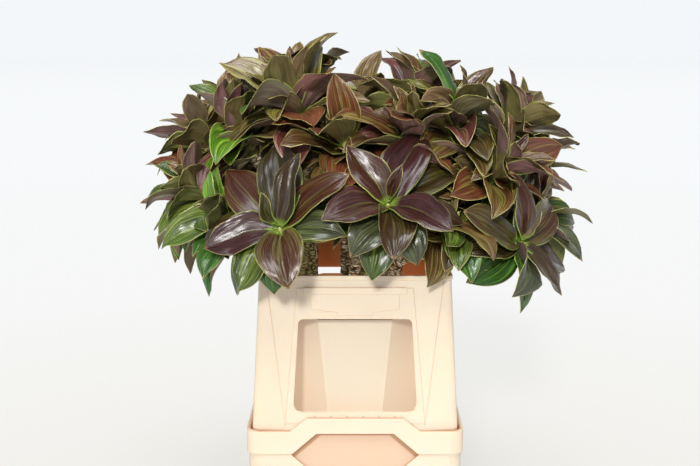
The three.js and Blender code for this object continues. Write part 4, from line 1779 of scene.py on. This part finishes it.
@dataclass
class Studio:
    """A pale floor, soft light from above and in front, and the camera."""

    lens: float = 60.3
    sensor: float = 36.0
    camera_at: tuple[float, float, float] = (-0.007, -1.741, 0.760)
    pitch: float = 9.35
    backdrop: Colour = (0.905, 0.93, 0.95)
    room: Colour = (0.30, 0.305, 0.32)
    ceiling: Colour = (0.26, 0.275, 0.30)
    key: float = 2.55
    overhead: float = 2.3
    floor_reach: float = 60.0
    floor_drop: float = 0.0005

    def build(self) -> None:
        """Builds the studio."""
        self._camera()
        self._floor()
        self._lights()
        scene = bpy.context.scene
        scene.view_settings.view_transform = "Standard"
        LOG.info("studio ready")

    def _camera(self) -> None:
        """Sets the camera at the photograph's place and angle."""
        lens = bpy.data.cameras.new("camera")
        lens.lens = self.lens
        lens.sensor_width = self.sensor
        camera = placed("camera", lens)
        camera.location = self.camera_at
        camera.rotation_euler = (math.radians(90 - self.pitch), 0, 0)
        bpy.context.scene.camera = camera

    def _floor(self) -> None:
        """Lays the floor just under the bucket."""
        mesh = bpy.data.meshes.new("floor")
        reach = self.floor_reach
        corners = [(-reach, -reach, 0), (reach, -reach, 0), (reach, reach, 0), (-reach, reach, 0)]
        mesh.from_pydata(corners, [], [(0, 1, 2, 3)])
        mesh.materials.append(StudioWhite().material())
        floor = placed("floor", mesh)
        floor.location.z = -self.floor_drop

    def _lights(self) -> None:
        """Hangs a key lamp above the camera and a wide one overhead, and lights the air.

        The air is bright ahead and all along the horizon, and dim behind the camera and above.
        """
        self._lamp("key", self.key, 7, (66, -8), (1.0, 0.985, 0.965))
        self._lamp("overhead", self.overhead, 34, (26, 4), (0.98, 0.985, 1.0))
        bench = Bench(bpy.data.worlds.new("studio_air"))
        _, ahead, up = bench.split(bench.facing())
        behind = (1 - ahead.ramp(-0.35, 0.25)) * up.ramp(0.03, 0.12)
        colour = bench.blend(behind, self.backdrop, self.room)
        colour = bench.blend(up.ramp(0.06, 0.45), colour, self.ceiling)
        bpy.context.scene.world = bench.air(colour)

    def _lamp(
        self, name: str, energy: float, spread: float, turn: tuple[float, float], colour: Colour
    ) -> None:
        """Hangs one lamp.

        Args:
            name: the lamp's name.
            energy: its strength.
            spread: how wide it looks, in degrees.
            turn: how far it is tipped from straight down and turned aside, in degrees.
            colour: its colour.
        """
        lamp = bpy.data.lights.new(name, "SUN")
        lamp.energy = energy
        lamp.angle = math.radians(spread)
        lamp.color = colour
        placed(name, lamp).rotation_euler = (math.radians(turn[0]), 0, math.radians(turn[1]))


def main() -> None:
    """Builds the studio, the container and the plants, and reports each piece."""
    logging.basicConfig(level=logging.INFO, format="%(name)s: %(message)s")
    Studio().build()
    # Orange for inward walls: painted shade tinted like light through the plastic
    inner = paint(182, 112, 58)
    cream = MouldedPlastic("cream_plastic", paint(212, 196, 175), paint(209, 186, 157), inner)
    # Below these heights the collar takes painted shade through the hand-holds and a pale painted glow
    # inside
    collar = replace(cream, name="collar_plastic", sunk_below=0.231, painted_glow_below=0.362)
    # Darker plastic for rounded edges and the collar's facet lines: painted shade
    edge = replace(cream, name="shaded_edge_plastic", colour=paint(208, 180, 153), deep=paint(202, 170, 138))
    # The inner pot glows more than the rest: painted light in the shade behind the window
    pot = MouldedPlastic(
        "pot_plastic", paint(190, 177, 157), paint(190, 168, 141), paint(206, 150, 100), 0.5, lit=0.27
    )
    MouldedShell("bucket", "bucket_shell", cream, "cream_plastic", edge).build()
    MouldedShell("collar", "collar_shell", collar, "cream_plastic", edge).build()
    MouldedShell("inner_pot", "inner_pot_shell", pot, "pot_plastic").build()
    CollarMarks().build(edge)
    SoilBed().build()
    Crowd().build()


if __name__ == "__main__":
    main()
